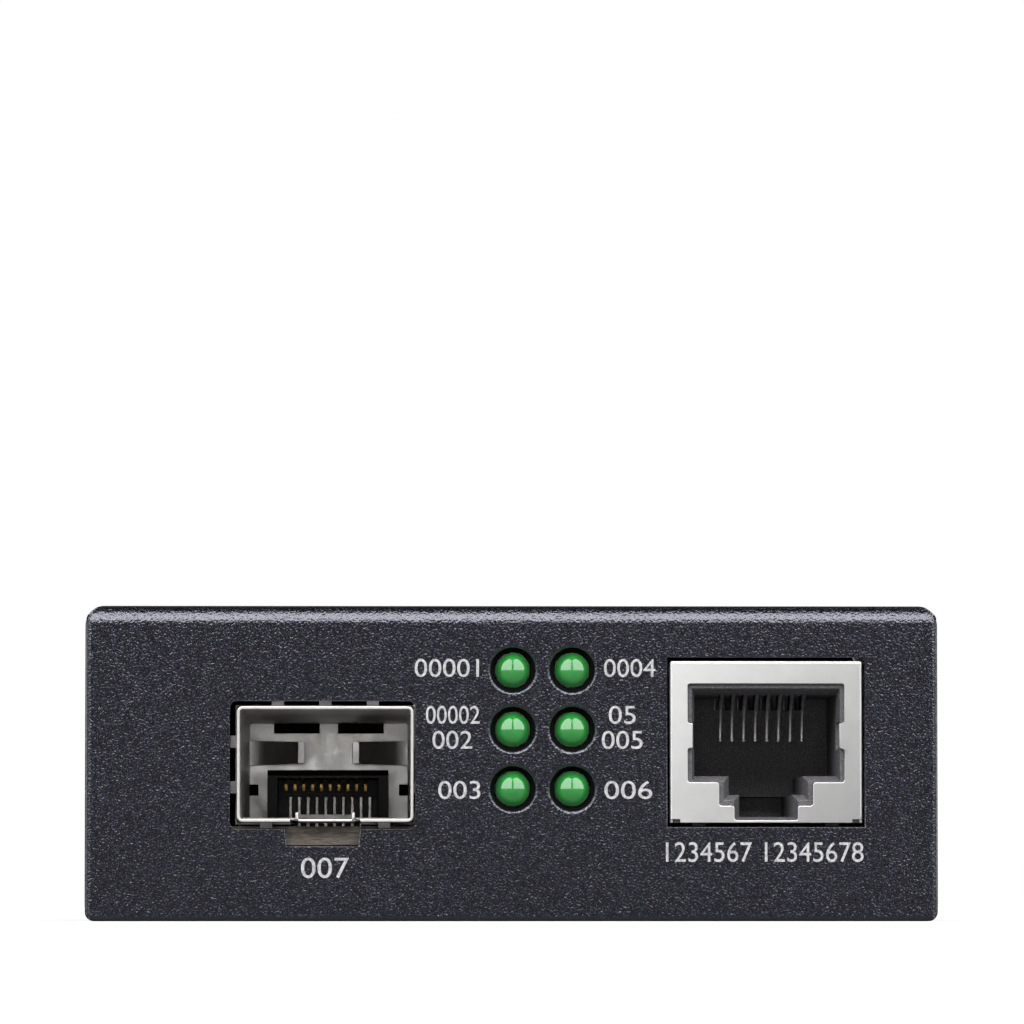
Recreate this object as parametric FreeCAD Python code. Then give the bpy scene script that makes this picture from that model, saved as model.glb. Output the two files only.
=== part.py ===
import FreeCAD, Part
import math
import os

from FreeCAD import Vector

# Fibre media converter in a folded steel case. All sizes are in millimetres.
# X runs to the right as seen from the front, Y from the front to the rear and Z up.
# The origin is on the standing surface, under the middle of the case.

# --- case cover: top, front panel and sides folded from one sheet ---
case_width = 73.0
case_depth = 94.0
case_height = 27.0
cover_sheet = 0.8
cover_bend = 1.7  # outside radius of the folds
panel_inset = 0.1  # the panel is this much narrower than the sides, each side
panel_edge_round = 0.5
panel_corner_round = 0.8
corner_seam = 0.15  # open seam between the panel and each side

# --- ventilation slots in both sides ---
vent_count = 9
vent_width = 1.6
vent_height = 9.0
vent_pitch = 4.0
vent_middle_y = 6.0
vent_foot = 11.0

# --- base tray: bottom, side flanges and rear panel folded from one sheet ---
tray_sheet = 0.8
tray_bend = 1.2
tray_gap = 0.15  # all round, inside the cover
tray_flange_height = 8.0
tray_notch = 0.6  # between a side flange and the rear panel

# --- case screws, countersunk in the cover's sides ---
case_screw_thread = 3.0
case_screw_length = 5.0
case_screw_y = -4.0
case_screw_height = 4.6
screw_slack = 0.05  # a thread in its hole
head_slack = 0.05  # a countersunk head in its seat

# --- circuit board on snap-in supports ---
board_sheet = 1.6
board_front_gap = 0.3
board_rear_gap = 1.5
board_side_gap = 0.75
support_height = 5.7
support_barrel = 5.0  # hexagons, across flats
support_foot = 6.4
support_neck = 2.8
support_head = 3.6
support_head_height = 0.9
support_edge = 4.0  # from the board's side edge
support_rear_inset = 6.7
support_port_room = 6.1  # behind the network port
press_slack = 0.02
pin_hole_slack = 0.1  # round a lead in its board slot
pin_below_board = 1.2

# --- pluggable-module cage ---
cage_x = -15.96
cage_width = 15.08
cage_height = 9.88
cage_length = 48.7
cage_sheet = 0.25
cage_lip = 0.5  # ahead of the panel
cage_stand = 0.35  # above the board
cage_pin_width = 0.6
cage_pin_count = 3
cage_pin_pitch = 16.0
cage_pin_first = 7.0  # behind the cage's front edge
cage_pin_root = 1.2
slot_gap_left = 0.60  # panel opening round the cage
slot_gap_right = 0.15
slot_gap_top = 0.46
slot_gap_bottom = 0.58
slot_corner = 0.6
notch_width = 6.15
notch_depth = 1.5
notch_flare = 0.15

# --- latch tongue on the cage's separate floor ---
floor_sheet = 0.25
floor_slack = 0.02
floor_short = 4.5  # ahead of the card connector
tongue_width = 5.07
tongue_slot = 0.45  # open on each side of the tongue
tongue_length = 12.0
tongue_rise = 0.42
tongue_edge = 0.4
tongue_ramp = 2.6
tongue_lip_height = 0.6
tongue_lip_length = 1.2
latch_window_width = 2.6
latch_window_length = 2.4
latch_window_back = 5.2  # behind the cage's front edge

# --- back of the cage: eject springs folded in from its sides, and slots ---
eject_height = 2.3
eject_tip_height = 1.95
eject_axis = 6.88  # above the cage's underside
eject_root_gap = 0.5  # ahead of the back wall
eject_lift_x = 6.6  # each measured from the cage's middle
eject_shoulder_x = 5.8
eject_shoulder = 0.3  # towards the front
eject_bend_x = 2.75
eject_tip_x = 2.2
eject_reach = 2.6  # towards the front
eject_sheet = 0.25
back_slot_width = 4.2
back_slot_height = 0.9
back_slot_middle = 2.95
back_notch_width = 0.8
back_notch_height = 1.0
back_notch_axis = 3.5

# --- ground springs on a collar round the cage ---
collar_sheet = 0.15
collar_slack = 0.02
collar_length = 4.6
collar_behind_panel = 0.05
finger_width = 1.03
finger_step = 0.42  # stands up from the collar's front edge
finger_bow = 0.75  # then bows out this far
finger_crest = 1.3  # behind the collar's front edge
finger_end = 0.6  # short of the collar's rear edge
finger_top_pitch = 4.06
finger_side_pitch = 3.9
finger_bottom_pitch = 10.1

# --- card connector at the back of the cage ---
connector_from_back = 11.2  # ahead of the cage's back
connector_width = 11.0
connector_height = 5.5
connector_depth = 7.5
connector_slot_width = 9.1
connector_slot_low = 2.8
connector_slot_height = 1.95
connector_slot_depth = 5.0
connector_tail_recess = 0.9
connector_chamfer = 0.5
contact_count = 10
contact_pitch = 0.8
contact_width = 0.3
contact_sheet = 0.2
contact_foot = 0.9
contact_slack = 0.06
contact_groove = 0.3
contact_bow = 1.2
contact_bow_behind = 1.6
contact_tip_behind = 0.6

# --- network port ---
port_x = 21.74
port_width = 16.42
port_height = 13.83
port_depth = 21.0
port_sheet = 0.25
port_lip = 0.15
port_stand = 0.3
port_gap_side = 0.24
port_gap_top = 0.32
port_gap_bottom = 0.38
mouth_width = 13.43
mouth_low = 3.45  # heights above the port's underside
mouth_high = 11.9
mouth_step_width = 8.05
mouth_step_low = 1.45
mouth_key_width = 5.43
mouth_key_low = 0.2
mouth_tab_low = 6.4
mouth_tab_high = 8.5
mouth_tab_reach = 0.43
mouth_tab_depth = 2.6
mouth_tab_slack = 0.08
shield_tab_width = 1.4
shield_tab_behind = 9.0
shield_foot_width = 0.85
shield_foot_height = 0.3
cavity_width = 12.2
cavity_low = 4.0
cavity_high = 11.0
cavity_step_width = 6.3
cavity_step_low = 2.4
cavity_key_width = 4.5
cavity_key_low = 0.5
cavity_depth = 13.5
latch_channel_end = 0.9  # left behind the channel that runs on below the cavity
cavity_lead_in = 0.9
cavity_flare = 0.5
housing_slack = 0.05
housing_depth = 16.5
housing_peg = 2.4
housing_peg_spread = 11.43
housing_peg_behind = 12.5
housing_rib = 1.2
wire_count = 8
wire_pitch = 1.016
wire_size = 0.32
wire_fold_behind = 2.2
wire_tip_behind = 8.5
wire_tip_height = 7.2
wire_nose = 0.5
wire_run_height = 12.0
wire_row_gap = 0.45
wire_row_pitch = 2.54
wire_channel_gap = 0.12

# --- status lamps, two columns of three ---
lamp_x = 2.62
lamp_z = 16.40
lamp_pitch = 5.08
lamp_columns = 2
lamp_rows = 3
lamp_diameter = 3.0
lamp_length = 4.8
lamp_dome = 1.2
lamp_tip_flat = 1.5
lamp_proud = 0.2
lamp_hole_gap = 0.4
lamp_slack = 0.05
lead_size = 0.5
lead_spread = 2.54
lead_row_pitch = 2.54
lead_first = 1.2
holder_front_gap = 0.15
holder_margin = 1.9  # beyond the outer lamps' middles
holder_lip = 0.4  # the front of the block hangs over the board's edge above this

# --- power jack ---
power_x = 22.0
power_width = 9.0
power_height = 11.0
power_depth = 14.0
power_axis = 6.5
power_bore = 6.3
power_bore_depth = 9.5
power_pin = 2.1
power_pin_root = 2.5  # where the pin is pressed through the jack's back wall
power_pin_short = 0.8  # behind the jack's face
power_panel_gap = 0.1
power_hole = 8.0
power_nose_depth = 4.0
power_waist_drop = 1.0
power_tag_width = 1.6
power_tag_sheet = 0.4
power_spring_bow = 0.35
power_spring_tag = 6.0  # behind the body's inner end
power_spring_slot = 0.85
power_slack = 0.05

# --- mode switch, a small slide switch behind the rear panel ---
switch_x = 4.0
switch_width = 8.6
switch_height = 4.7
switch_depth = 4.0
switch_sheet = 0.3
switch_travel = 2.0
switch_panel_gap = 0.3
slider_width = 3.8
slider_thickness = 1.4
slider_slack = 0.1
handle_width = 2.0
handle_height = 1.8
handle_short = 0.2  # behind the rear panel's face
handle_room = 0.35
switch_pins = 3
switch_pin_size = 0.4
switch_pin_pitch = 2.0
switch_pin_root = 1.0
switch_foot_width = 0.8

# --- parts on the board ---
chip_size = (12.0, 12.0, 0.9)
chip_place = (-16.0, 14.0)
transformer_size = (14.0, 9.0, 5.2)
transformer_place = (20.0, -12.0)
crystal_size = (10.0, 4.0, 3.4)
crystal_place = (-2.0, 6.0)
coil_size = (7.0, 7.0, 4.2)
coil_place = (22.0, 20.0)
regulator_size = (6.5, 7.0, 2.2)
regulator_place = (22.0, 10.0)
regulator_tab = 0.4

# --- places that follow from the sizes above ---
over = 1.0  # cutting tools reach this far past a face
front = -case_depth / 2
rear = case_depth / 2
half_width = case_width / 2
panel_back = front + cover_sheet
tray_half = half_width - cover_sheet - tray_gap
tray_top = case_height - cover_sheet - tray_gap
tray_back_face = rear - tray_sheet
board_bottom = tray_sheet + support_height
board_top = board_bottom + board_sheet
board_half = tray_half - tray_sheet - board_side_gap
board_front = panel_back + board_front_gap
board_rear = tray_back_face - board_rear_gap
pin_tip = board_bottom - pin_below_board
cage_left = cage_x - cage_width / 2
cage_right = cage_x + cage_width / 2
cage_bottom = board_top + cage_stand
cage_top = cage_bottom + cage_height
cage_front = front - cage_lip
cage_back = cage_front + cage_length
floor_top = cage_bottom + cage_sheet + floor_slack + floor_sheet
port_bottom = board_top + port_stand
port_top = port_bottom + port_height
port_front = front - port_lip
port_back = port_front + port_depth
housing_front = port_front + port_sheet + housing_slack
housing_back = housing_front + housing_depth
connector_front = cage_back - connector_from_back
floor_back = connector_front - floor_short
lamp_tip = front - lamp_proud
lamp_back = lamp_tip + lamp_length
holder_front = panel_back + holder_front_gap
power_face = tray_back_face - power_panel_gap
power_z = board_top + power_axis
switch_face = tray_back_face - switch_panel_gap
switch_z = board_top + switch_height / 2
support_rows = (port_back + support_port_room, board_rear - support_rear_inset)
support_x = board_half - support_edge


# --- shapes ---
def block(x0, x1, y0, y1, z0, z1):
    """Box between two corners."""
    return Part.makeBox(x1 - x0, y1 - y0, z1 - z0, Vector(x0, y0, z0))


def bar(radius, x, z, y0, y1):
    """Cylinder along Y."""
    return Part.makeCylinder(radius, y1 - y0, Vector(x, y0, z), Vector(0, 1, 0))


def rectangle(a0, a1, b0, b1, radius=0):
    """Corners of a rectangle, each with the same rounding."""
    return [(a0, b0, radius), (a1, b0, radius), (a1, b1, radius), (a0, b1, radius)]


def rounded_wire(corners, lift):
    """Closed outline through (a, b, radius) corners, set in space by lift."""
    points = [Vector(a, b, 0) for a, b, _ in corners]
    turns = []
    for i, (_, _, radius) in enumerate(corners):
        here = points[i]
        back = (points[i - 1] - here).normalize()
        ahead = (points[(i + 1) % len(points)] - here).normalize()
        half_angle = back.getAngle(ahead) / 2
        run = radius / math.tan(half_angle)
        inward = (back + ahead).normalize() if radius > 0 else Vector()
        middle = here + inward * (radius / math.sin(half_angle) - radius)
        turns.append((here + back * run, middle, here + ahead * run))
    edges = []
    for i, (start, middle, end) in enumerate(turns):
        last = turns[i - 1][2]
        if last.distanceToPoint(start) > 1e-6:
            edges.append(Part.makeLine(lift(last), lift(start)))
        if corners[i][2] > 0:
            edges.append(Part.Arc(lift(start), lift(middle), lift(end)).toShape())
    return Part.Wire(edges)


def front_plate(corners, y0, y1):
    """Outline seen from the front, (x, z, radius), carried from y0 to y1."""
    wire = rounded_wire(corners, lambda p: Vector(p.x, y0, p.y))
    return Part.Face(wire).extrude(Vector(0, y1 - y0, 0))


def side_plate(corners, x0, x1):
    """Outline seen from the side, (y, z, radius), carried from x0 to x1."""
    wire = rounded_wire(corners, lambda p: Vector(x0, p.x, p.y))
    return Part.Face(wire).extrude(Vector(x1 - x0, 0, 0))


def plan_plate(corners, z0, z1):
    """Outline seen from above, (x, y, radius), carried from z0 to z1."""
    wire = rounded_wire(corners, lambda p: Vector(p.x, p.y, z0))
    return Part.Face(wire).extrude(Vector(0, 0, z1 - z0))


def folded_strip(path, sheet, fold=0):
    """Corners of a strip folded along its middle line, with inside radius fold or sharp."""
    left = []
    right = []
    points = [Vector(a, b, 0) for a, b in path]
    runs = [(points[i + 1] - points[i]).normalize() for i in range(len(points) - 1)]
    for i, point in enumerate(points):
        before = runs[max(i - 1, 0)]
        after = runs[min(i, len(runs) - 1)]
        normal = Vector(-before.y - after.y, before.x + after.x, 0)
        normal = normal * (sheet / (1 + before.dot(after)) / 2)
        turn = before.x * after.y - before.y * after.x
        outside = fold + sheet if fold > 0 and abs(turn) > 1e-9 else 0
        left_radius = outside if turn < 0 else min(fold, outside)
        right_radius = outside if turn > 0 else min(fold, outside)
        left.append((point.x + normal.x, point.y + normal.y, left_radius))
        right.append((point.x - normal.x, point.y - normal.y, right_radius))
    return left + right[::-1]


def mirrored(shape, x):
    """The same shape on the other side of the plane at x."""
    return shape.mirror(Vector(x, 0, 0), Vector(1, 0, 0))


def row(count, pitch):
    """Evenly spaced places, centred on zero."""
    return [(i - (count - 1) / 2) * pitch for i in range(count)]


# --- case ---
def cover_envelope():
    """Outside of the cover: three rounded outlines crossed at right angles."""
    step = panel_back + corner_seam
    narrow = half_width - panel_inset
    across = front_plate(
        [(-half_width, 0, 0), (half_width, 0, 0),
         (half_width, case_height, cover_bend), (-half_width, case_height, cover_bend)],
        front, rear)
    along = side_plate(
        [(front, 0, 0), (rear, 0, 0),
         (rear, case_height, 0), (front, case_height, cover_bend)],
        -half_width, half_width)
    above = plan_plate(
        [(-narrow, front, panel_edge_round), (narrow, front, panel_edge_round),
         (narrow, step, 0), (half_width, step, 0), (half_width, rear, 0),
         (-half_width, rear, 0), (-half_width, step, 0), (-narrow, step, 0)],
        0, case_height)
    return across.common(along).common(above)


def cover_hollow():
    """Inside of the cover, open below and to the rear."""
    side = half_width - cover_sheet
    top = case_height - cover_sheet
    bend = cover_bend - cover_sheet
    across = front_plate(
        [(-side, -over, 0), (side, -over, 0), (side, top, bend), (-side, top, bend)],
        panel_back, rear + over)
    along = side_plate(
        [(panel_back, -over, 0), (rear + over, -over, 0), (rear + over, top, 0), (panel_back, top, bend)],
        -side, side)
    return across.common(along)


def corner_seams():
    """Open seams beside the panel, its rounded lower corners and the sides' rounded lower edges."""
    inner = half_width - cover_sheet - over / 10
    seam = block(inner, half_width + over, panel_back, panel_back + corner_seam,
                 -over, case_height - cover_sheet)
    narrow = half_width - panel_inset
    centre = narrow - panel_corner_round
    corner = block(centre, half_width + over, front - over, panel_back + corner_seam,
                   -over, panel_corner_round)
    corner = corner.cut(bar(panel_corner_round, centre, panel_corner_round,
                            front - 2 * over, rear))
    edge = half_width - panel_corner_round
    lower_edge = block(edge, half_width + over, panel_back, rear + over, -over, panel_corner_round)
    lower_edge = lower_edge.cut(bar(panel_corner_round, edge, panel_corner_round,
                                    panel_back - over, rear + 2 * over))
    cuts = [seam.fuse(corner), lower_edge]
    return cuts + [mirrored(cut, 0) for cut in cuts]


def cage_slot():
    """Panel opening for the cage, with the notch that clears the latch tongue."""
    x0 = cage_left - slot_gap_left
    x1 = cage_right + slot_gap_right
    z0 = cage_bottom - slot_gap_bottom
    z1 = cage_top + slot_gap_top
    middle = (x0 + x1) / 2
    low = notch_width / 2
    high = low + notch_flare
    return front_plate(
        [(x0, z1, slot_corner), (x0, z0, slot_corner),
         (middle - high, z0, 0), (middle - low, z0 - notch_depth, 0),
         (middle + low, z0 - notch_depth, 0), (middle + high, z0, 0),
         (x1, z0, slot_corner), (x1, z1, slot_corner)],
        front - over, panel_back + over)


def port_slot():
    """Panel opening for the network port."""
    half = port_width / 2 + port_gap_side
    return block(port_x - half, port_x + half, front - over, panel_back + over,
                 port_bottom - port_gap_bottom, port_top + port_gap_top)


def lamp_spots():
    """Centres of the lamps, (x, z), column by column from the top row down."""
    return [(lamp_x + x, lamp_z - z)
            for x in row(lamp_columns, lamp_pitch) for z in row(lamp_rows, lamp_pitch)]


def lamp_holes():
    """Panel holes for the lamps."""
    radius = lamp_diameter / 2 + lamp_hole_gap
    return [bar(radius, x, z, front - over, panel_back + over) for x, z in lamp_spots()]


def vent_slots():
    """Upright slots through both sides."""
    slots = []
    for y in row(vent_count, vent_pitch):
        middle = vent_middle_y + y
        slots.append(block(-half_width - over, half_width + over, middle - vent_width / 2,
                           middle + vent_width / 2, vent_foot, vent_foot + vent_height))
    return slots


def screw_seats():
    """Countersunk holes through both sides of the cover."""
    inner_radius = case_screw_thread / 2 + head_slack
    seat = Part.makeCone(inner_radius + cover_sheet, inner_radius, cover_sheet,
                         Vector(half_width, case_screw_y, case_screw_height), Vector(-1, 0, 0))
    return [seat, mirrored(seat, 0)]


def top_cover():
    cover = cover_envelope().cut(cover_hollow())
    openings = [cage_slot(), port_slot()] + lamp_holes()
    return cover.cut(openings + corner_seams() + vent_slots() + screw_seats())


def base_tray():
    """Bottom, low side flanges and tall rear panel, with seats for the board's supports."""
    def folded(offset, y0, y1, top, corner):
        side = tray_half - offset
        bend = tray_bend - offset
        low = offset
        across = front_plate(
            [(-side, low, bend), (side, low, bend), (side, top, corner), (-side, top, corner)],
            y0, y1)
        along = side_plate(
            [(y0, low, 0), (y1, low, bend), (y1, top, 0), (y0, top, 0)], -side, side)
        return across.common(along)

    tray_front = panel_back + tray_gap
    outside = folded(0, tray_front, rear, tray_top, cover_bend - cover_sheet - tray_gap)
    inside = folded(tray_sheet, tray_front - over, tray_back_face, tray_top + over, 0)
    notch_front = tray_back_face - tray_notch
    above_flanges = block(-half_width, half_width, tray_front - over, notch_front,
                          tray_flange_height, tray_top + over)
    notch = block(tray_half - tray_sheet - tray_bend / 2, half_width, notch_front,
                  tray_back_face, tray_bend, tray_top + over)
    tray = outside.cut([inside, above_flanges, notch, mirrored(notch, 0)])

    bore = Part.makeCylinder(case_screw_thread / 2 + screw_slack, tray_sheet + 2 * over,
                             Vector(tray_half + over, case_screw_y, case_screw_height),
                             Vector(-1, 0, 0))
    bores = [bore, mirrored(bore, 0)]
    seats = [hexagon(x, y, support_foot + 2 * press_slack, -over, tray_sheet + over)
             for x, y in support_spots()]
    half_slot = (switch_travel + handle_width) / 2 + handle_room
    slot_height = handle_height / 2 + handle_room
    openings = [
        bar(power_hole / 2, power_x, power_z, tray_back_face - over, rear + over),
        block(switch_x - half_slot, switch_x + half_slot, tray_back_face - over, rear + over,
              switch_z - slot_height, switch_z + slot_height),
    ]
    return tray.cut(bores + seats + openings)


def case_screws():
    """Countersunk screws through the cover's sides into the tray's flanges."""
    radius = case_screw_thread / 2
    face = Vector(half_width, case_screw_y, case_screw_height)
    inward = Vector(-1, 0, 0)
    head = Part.makeCone(radius + cover_sheet, radius, cover_sheet, face, inward)
    shank = Part.makeCylinder(radius, case_screw_length, face, inward)
    screw = head.fuse(shank).removeSplitter()
    return [screw, mirrored(screw, 0)]


# --- circuit board and its supports ---
def hexagon(x, y, across_flats, z0, z1):
    """Upright hexagonal bar."""
    radius = across_flats / 2 / math.cos(math.pi / 6)
    corners = [(x + radius * math.cos(math.pi / 3 * i), y + radius * math.sin(math.pi / 3 * i), 0)
               for i in range(6)]
    return plan_plate(corners, z0, z1)


def support_spots():
    """Places of the board's supports, (x, y)."""
    return [(x, y) for y in support_rows for x in (-support_x, support_x)]


def board_supports():
    """Hexagonal pillars: foot in the tray, flush with it, neck and head through the board."""
    return [hexagon(x, y, support_foot, 0, tray_sheet).fuse([
        hexagon(x, y, support_barrel, 0, board_bottom),
        hexagon(x, y, support_neck, 0, board_top),
        hexagon(x, y, support_head, board_top, board_top + support_head_height),
    ]).removeSplitter() for x, y in support_spots()]


def board_slots():
    """Plated slots, (x, y, size across, size along), one for each lead, tab or peg."""
    slots = [(x, y, cage_sheet, cage_pin_width) for x, y in cage_pin_spots()]
    slots += [(x, y, wire_size, wire_size) for x, y in wire_spots()]
    slots += [(x, y, port_sheet, shield_tab_width) for x, y in shield_tab_spots()]
    slots += [(x, y, housing_peg, housing_peg) for x, y in port_peg_spots()]
    slots += [(x, y, lead_size, lead_size) for x, y in lead_spots()]
    slots += [(x, y, power_tag_width, power_tag_sheet) for x, y in power_tag_spots()]
    slots += [(x, y, switch_pin_size, switch_pin_size) for x, y in switch_pin_spots()]
    slots += [(x, y, switch_sheet, switch_foot_width) for x, y in switch_foot_spots()]
    return slots


def circuit_board():
    board = block(-board_half, board_half, board_front, board_rear, board_bottom, board_top)
    cuts = [hexagon(x, y, support_neck + 2 * press_slack, board_bottom - over, board_top + over)
            for x, y in support_spots()]
    for x, y, across, along in board_slots():
        half_x = across / 2 + pin_hole_slack
        half_y = along / 2 + pin_hole_slack
        cuts.append(block(x - half_x, x + half_x, y - half_y, y + half_y,
                          board_bottom - over, board_top + over))
    return board.cut(cuts)


# --- module cage ---
def cage_section(inset):
    """Outline of the cage, drawn in by inset."""
    return rectangle(cage_left + inset, cage_right - inset, cage_bottom + inset, cage_top - inset)


def cage_pin_spots():
    """Press-fit pins along both sides of the cage, (x, y)."""
    return [(x, cage_front + cage_pin_first + i * cage_pin_pitch)
            for x in (cage_left + cage_sheet / 2, cage_right - cage_sheet / 2)
            for i in range(cage_pin_count)]


def eject_spring():
    """Leaf folded in from a side wall: root, shoulder, slope towards the front and flat tip."""
    root = cage_back - cage_sheet - eject_root_gap - eject_sheet / 2
    tip = root - eject_reach
    root_x = cage_left + cage_sheet / 2
    path = [(root_x, root), (cage_x - eject_lift_x, root),
            (cage_x - eject_shoulder_x, root - eject_shoulder),
            (cage_x - eject_bend_x, tip), (cage_x - eject_tip_x, tip)]
    axis = cage_bottom + eject_axis
    leaf = plan_plate(folded_strip(path, eject_sheet),
                      axis - eject_height, axis + eject_height)
    taper = [(root_x, axis - eject_height / 2, 0), (cage_x - eject_tip_x, axis - eject_tip_height / 2, 0),
             (cage_x - eject_tip_x, axis + eject_tip_height / 2, 0), (root_x, axis + eject_height / 2, 0)]
    return leaf.common(front_plate(taper, tip - eject_sheet, root + eject_sheet))


def sfp_cage_shell():
    """Folded tube with a closed back, inturned bottom flanges and pins into the board."""
    shell = front_plate(cage_section(0), cage_front, cage_back)
    hollow = front_plate(cage_section(cage_sheet), cage_front - over, cage_back - cage_sheet)
    tongue_room = tongue_width / 2 + tongue_slot
    inner = cage_width / 2 - cage_sheet
    between_flanges = block(cage_x - tongue_room, cage_x + tongue_room, cage_front - over,
                            floor_back + over, cage_bottom - over, cage_bottom + cage_sheet)
    behind_floor = block(cage_x - inner, cage_x + inner, floor_back, cage_back + over,
                         cage_bottom - over, cage_bottom + cage_sheet)
    cuts = [hollow, between_flanges, behind_floor]
    wall = (cage_back - cage_sheet - over, cage_back + over)
    slot_top = cage_top - cage_sheet
    notch_z = cage_bottom + back_notch_axis
    for side in (-1, 1):
        middle = cage_x + side * back_slot_middle
        cuts.append(front_plate(
            rectangle(middle - back_slot_width / 2, middle + back_slot_width / 2,
                      slot_top - back_slot_height, slot_top), *wall))
        notch_x = sorted((cage_x + side * inner, cage_x + side * (inner - back_notch_width)))
        cuts.append(block(*notch_x, *wall, notch_z - back_notch_height / 2,
                          notch_z + back_notch_height / 2))
    shell = shell.cut(cuts)
    additions = [eject_spring(), mirrored(eject_spring(), cage_x)]
    for x, y in cage_pin_spots():
        additions.append(block(x - cage_sheet / 2, x + cage_sheet / 2, y - cage_pin_width / 2,
                               y + cage_pin_width / 2, pin_tip, cage_bottom + cage_pin_root))
    return shell.fuse(additions).removeSplitter()


def sfp_cage_floor():
    """Loose floor plate that lies on the flanges and carries the latch tongue."""
    half = cage_width / 2 - cage_sheet - floor_slack
    low = floor_top - floor_sheet
    plate_front = cage_front + tongue_length
    plate = block(cage_x - half, cage_x + half, plate_front, floor_back, low, floor_top)
    base = cage_bottom + floor_sheet / 2
    crest = base + tongue_rise
    path = [(cage_front, base), (cage_front + tongue_edge, base),
            (cage_front + tongue_ramp, crest), (plate_front - tongue_ramp, crest),
            (plate_front, low + floor_sheet / 2), (plate_front + floor_sheet, low + floor_sheet / 2)]
    tongue = side_plate(folded_strip(path, floor_sheet),
                        cage_x - tongue_width / 2, cage_x + tongue_width / 2)
    lip_top = cage_bottom + floor_sheet + tongue_lip_height
    lip_back = cage_front + tongue_lip_length
    lips = []
    for side in (-1, 1):
        x = sorted((cage_x + side * tongue_width / 2,
                    cage_x + side * (tongue_width / 2 - floor_sheet)))
        lips.append(side_plate(
            [(cage_front, base, 0), (cage_front, lip_top, 0), (lip_back, base + tongue_rise, 0),
             (lip_back, base, 0)], *x))
    window_y = cage_front + latch_window_back
    window = block(cage_x - latch_window_width / 2, cage_x + latch_window_width / 2,
                   window_y, window_y + latch_window_length, low - over, floor_top + over)
    return plate.fuse([tongue] + lips).cut(window).removeSplitter()


def ground_finger(bowed):
    """Finger on top of a flat: it stands up at the front and may bow back over the collar."""
    face = panel_back + collar_behind_panel
    stand = face + collar_sheet / 2
    path = [(stand, 0), (stand, finger_step)]
    if bowed:
        path += [(face + finger_crest, finger_bow), (face + collar_length - finger_end, collar_sheet)]
    return side_plate(folded_strip(path, collar_sheet), -finger_width / 2, finger_width / 2)


def sfp_ground_springs():
    """Thin collar round the cage, open under the tongue, with fingers behind the panel's rim."""
    y0 = panel_back + collar_behind_panel
    y1 = y0 + collar_length
    collar = front_plate(cage_section(-collar_slack - collar_sheet), y0, y1)
    room = tongue_width / 2 + tongue_slot
    below = block(cage_x - room, cage_x + room, y0 - over, y1 + over,
                  cage_bottom - over, cage_bottom + over)
    collar = collar.cut([front_plate(cage_section(-collar_slack), y0 - over, y1 + over), below])
    off = collar_slack + collar_sheet / 2
    middle_z = (cage_bottom + cage_top) / 2
    places = [(cage_x + x, cage_top + off, 0, True) for x in row(3, finger_top_pitch)]
    places += [(cage_x + x, cage_bottom - off, 180, False) for x in row(2, finger_bottom_pitch)]
    places += [(cage_right + off, middle_z + z, 90, True) for z in row(2, finger_side_pitch)]
    places += [(cage_left - off, middle_z + z, -90, True) for z in row(2, finger_side_pitch)]
    fingers = []
    for x, z, turn, bowed in places:
        finger = ground_finger(bowed)
        finger.Placement = FreeCAD.Placement(Vector(x, 0, z), FreeCAD.Rotation(Vector(0, 1, 0), turn))
        fingers.append(finger)
    return collar.fuse(fingers).removeSplitter()


# --- card connector inside the cage ---
def contact_row(shift):
    """Middles of one row of contacts; the two rows are half a pitch apart."""
    return [cage_x + x + shift * contact_pitch / 4 for x in row(contact_count, contact_pitch)]


def sfp_connector_housing():
    """Moulded block with the card slot, grooves for the upper row and a recess for the tails."""
    half = connector_width / 2
    back = connector_front + connector_depth
    top = board_top + connector_height
    housing = side_plate(
        [(connector_front, board_top, 0), (back, board_top, 0), (back, top, 0),
         (connector_front + connector_chamfer, top, 0),
         (connector_front, top - connector_chamfer, 0)],
        cage_x - half, cage_x + half)
    slot_half = connector_slot_width / 2
    low = board_top + connector_slot_low
    ceiling = low + connector_slot_height
    cuts = [
        block(cage_x - slot_half, cage_x + slot_half, connector_front - over,
              connector_front + connector_slot_depth, low, ceiling),
        block(cage_x - slot_half, cage_x + slot_half, connector_front - over,
              connector_front + connector_tail_recess, board_top - over, low + contact_slack),
    ]
    groove_half = contact_width / 2 + contact_slack
    for x in contact_row(-1):
        cuts.append(block(x - groove_half, x + groove_half, connector_front + contact_tip_behind / 2,
                          back + over, ceiling - contact_slack, ceiling + contact_groove))
    return housing.cut(cuts)


def contact_strip(x, path):
    """One contact, folded in the plane across the connector's width."""
    return side_plate(folded_strip(path, contact_sheet),
                      x - contact_width / 2, x + contact_width / 2)


def sfp_contacts_upper():
    """Row that springs down from the slot's ceiling and lands behind the connector."""
    back = connector_front + connector_depth + contact_sheet
    foot = board_top + contact_sheet / 2
    run = (board_top + connector_slot_low + connector_slot_height + contact_groove
           - contact_slack - contact_sheet / 2)
    path = [(back + contact_foot, foot), (back, foot), (back, run),
            (connector_front + 2 * contact_bow_behind, run),
            (connector_front + contact_bow_behind, run - contact_bow),
            (connector_front + contact_tip_behind, run - contact_bow / 2)]
    return [contact_strip(x, path) for x in contact_row(-1)]


def sfp_contacts_lower():
    """Row that lies on the slot's floor and comes down in front of the connector."""
    foot = board_top + contact_sheet / 2
    tail = connector_front + connector_tail_recess / 2
    run = board_top + connector_slot_low + contact_slack + contact_sheet / 2
    path = [(tail - contact_foot, foot), (tail, foot), (tail, run),
            (connector_front + connector_slot_depth - contact_slack, run)]
    return [contact_strip(x, path) for x in contact_row(1)]


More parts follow.
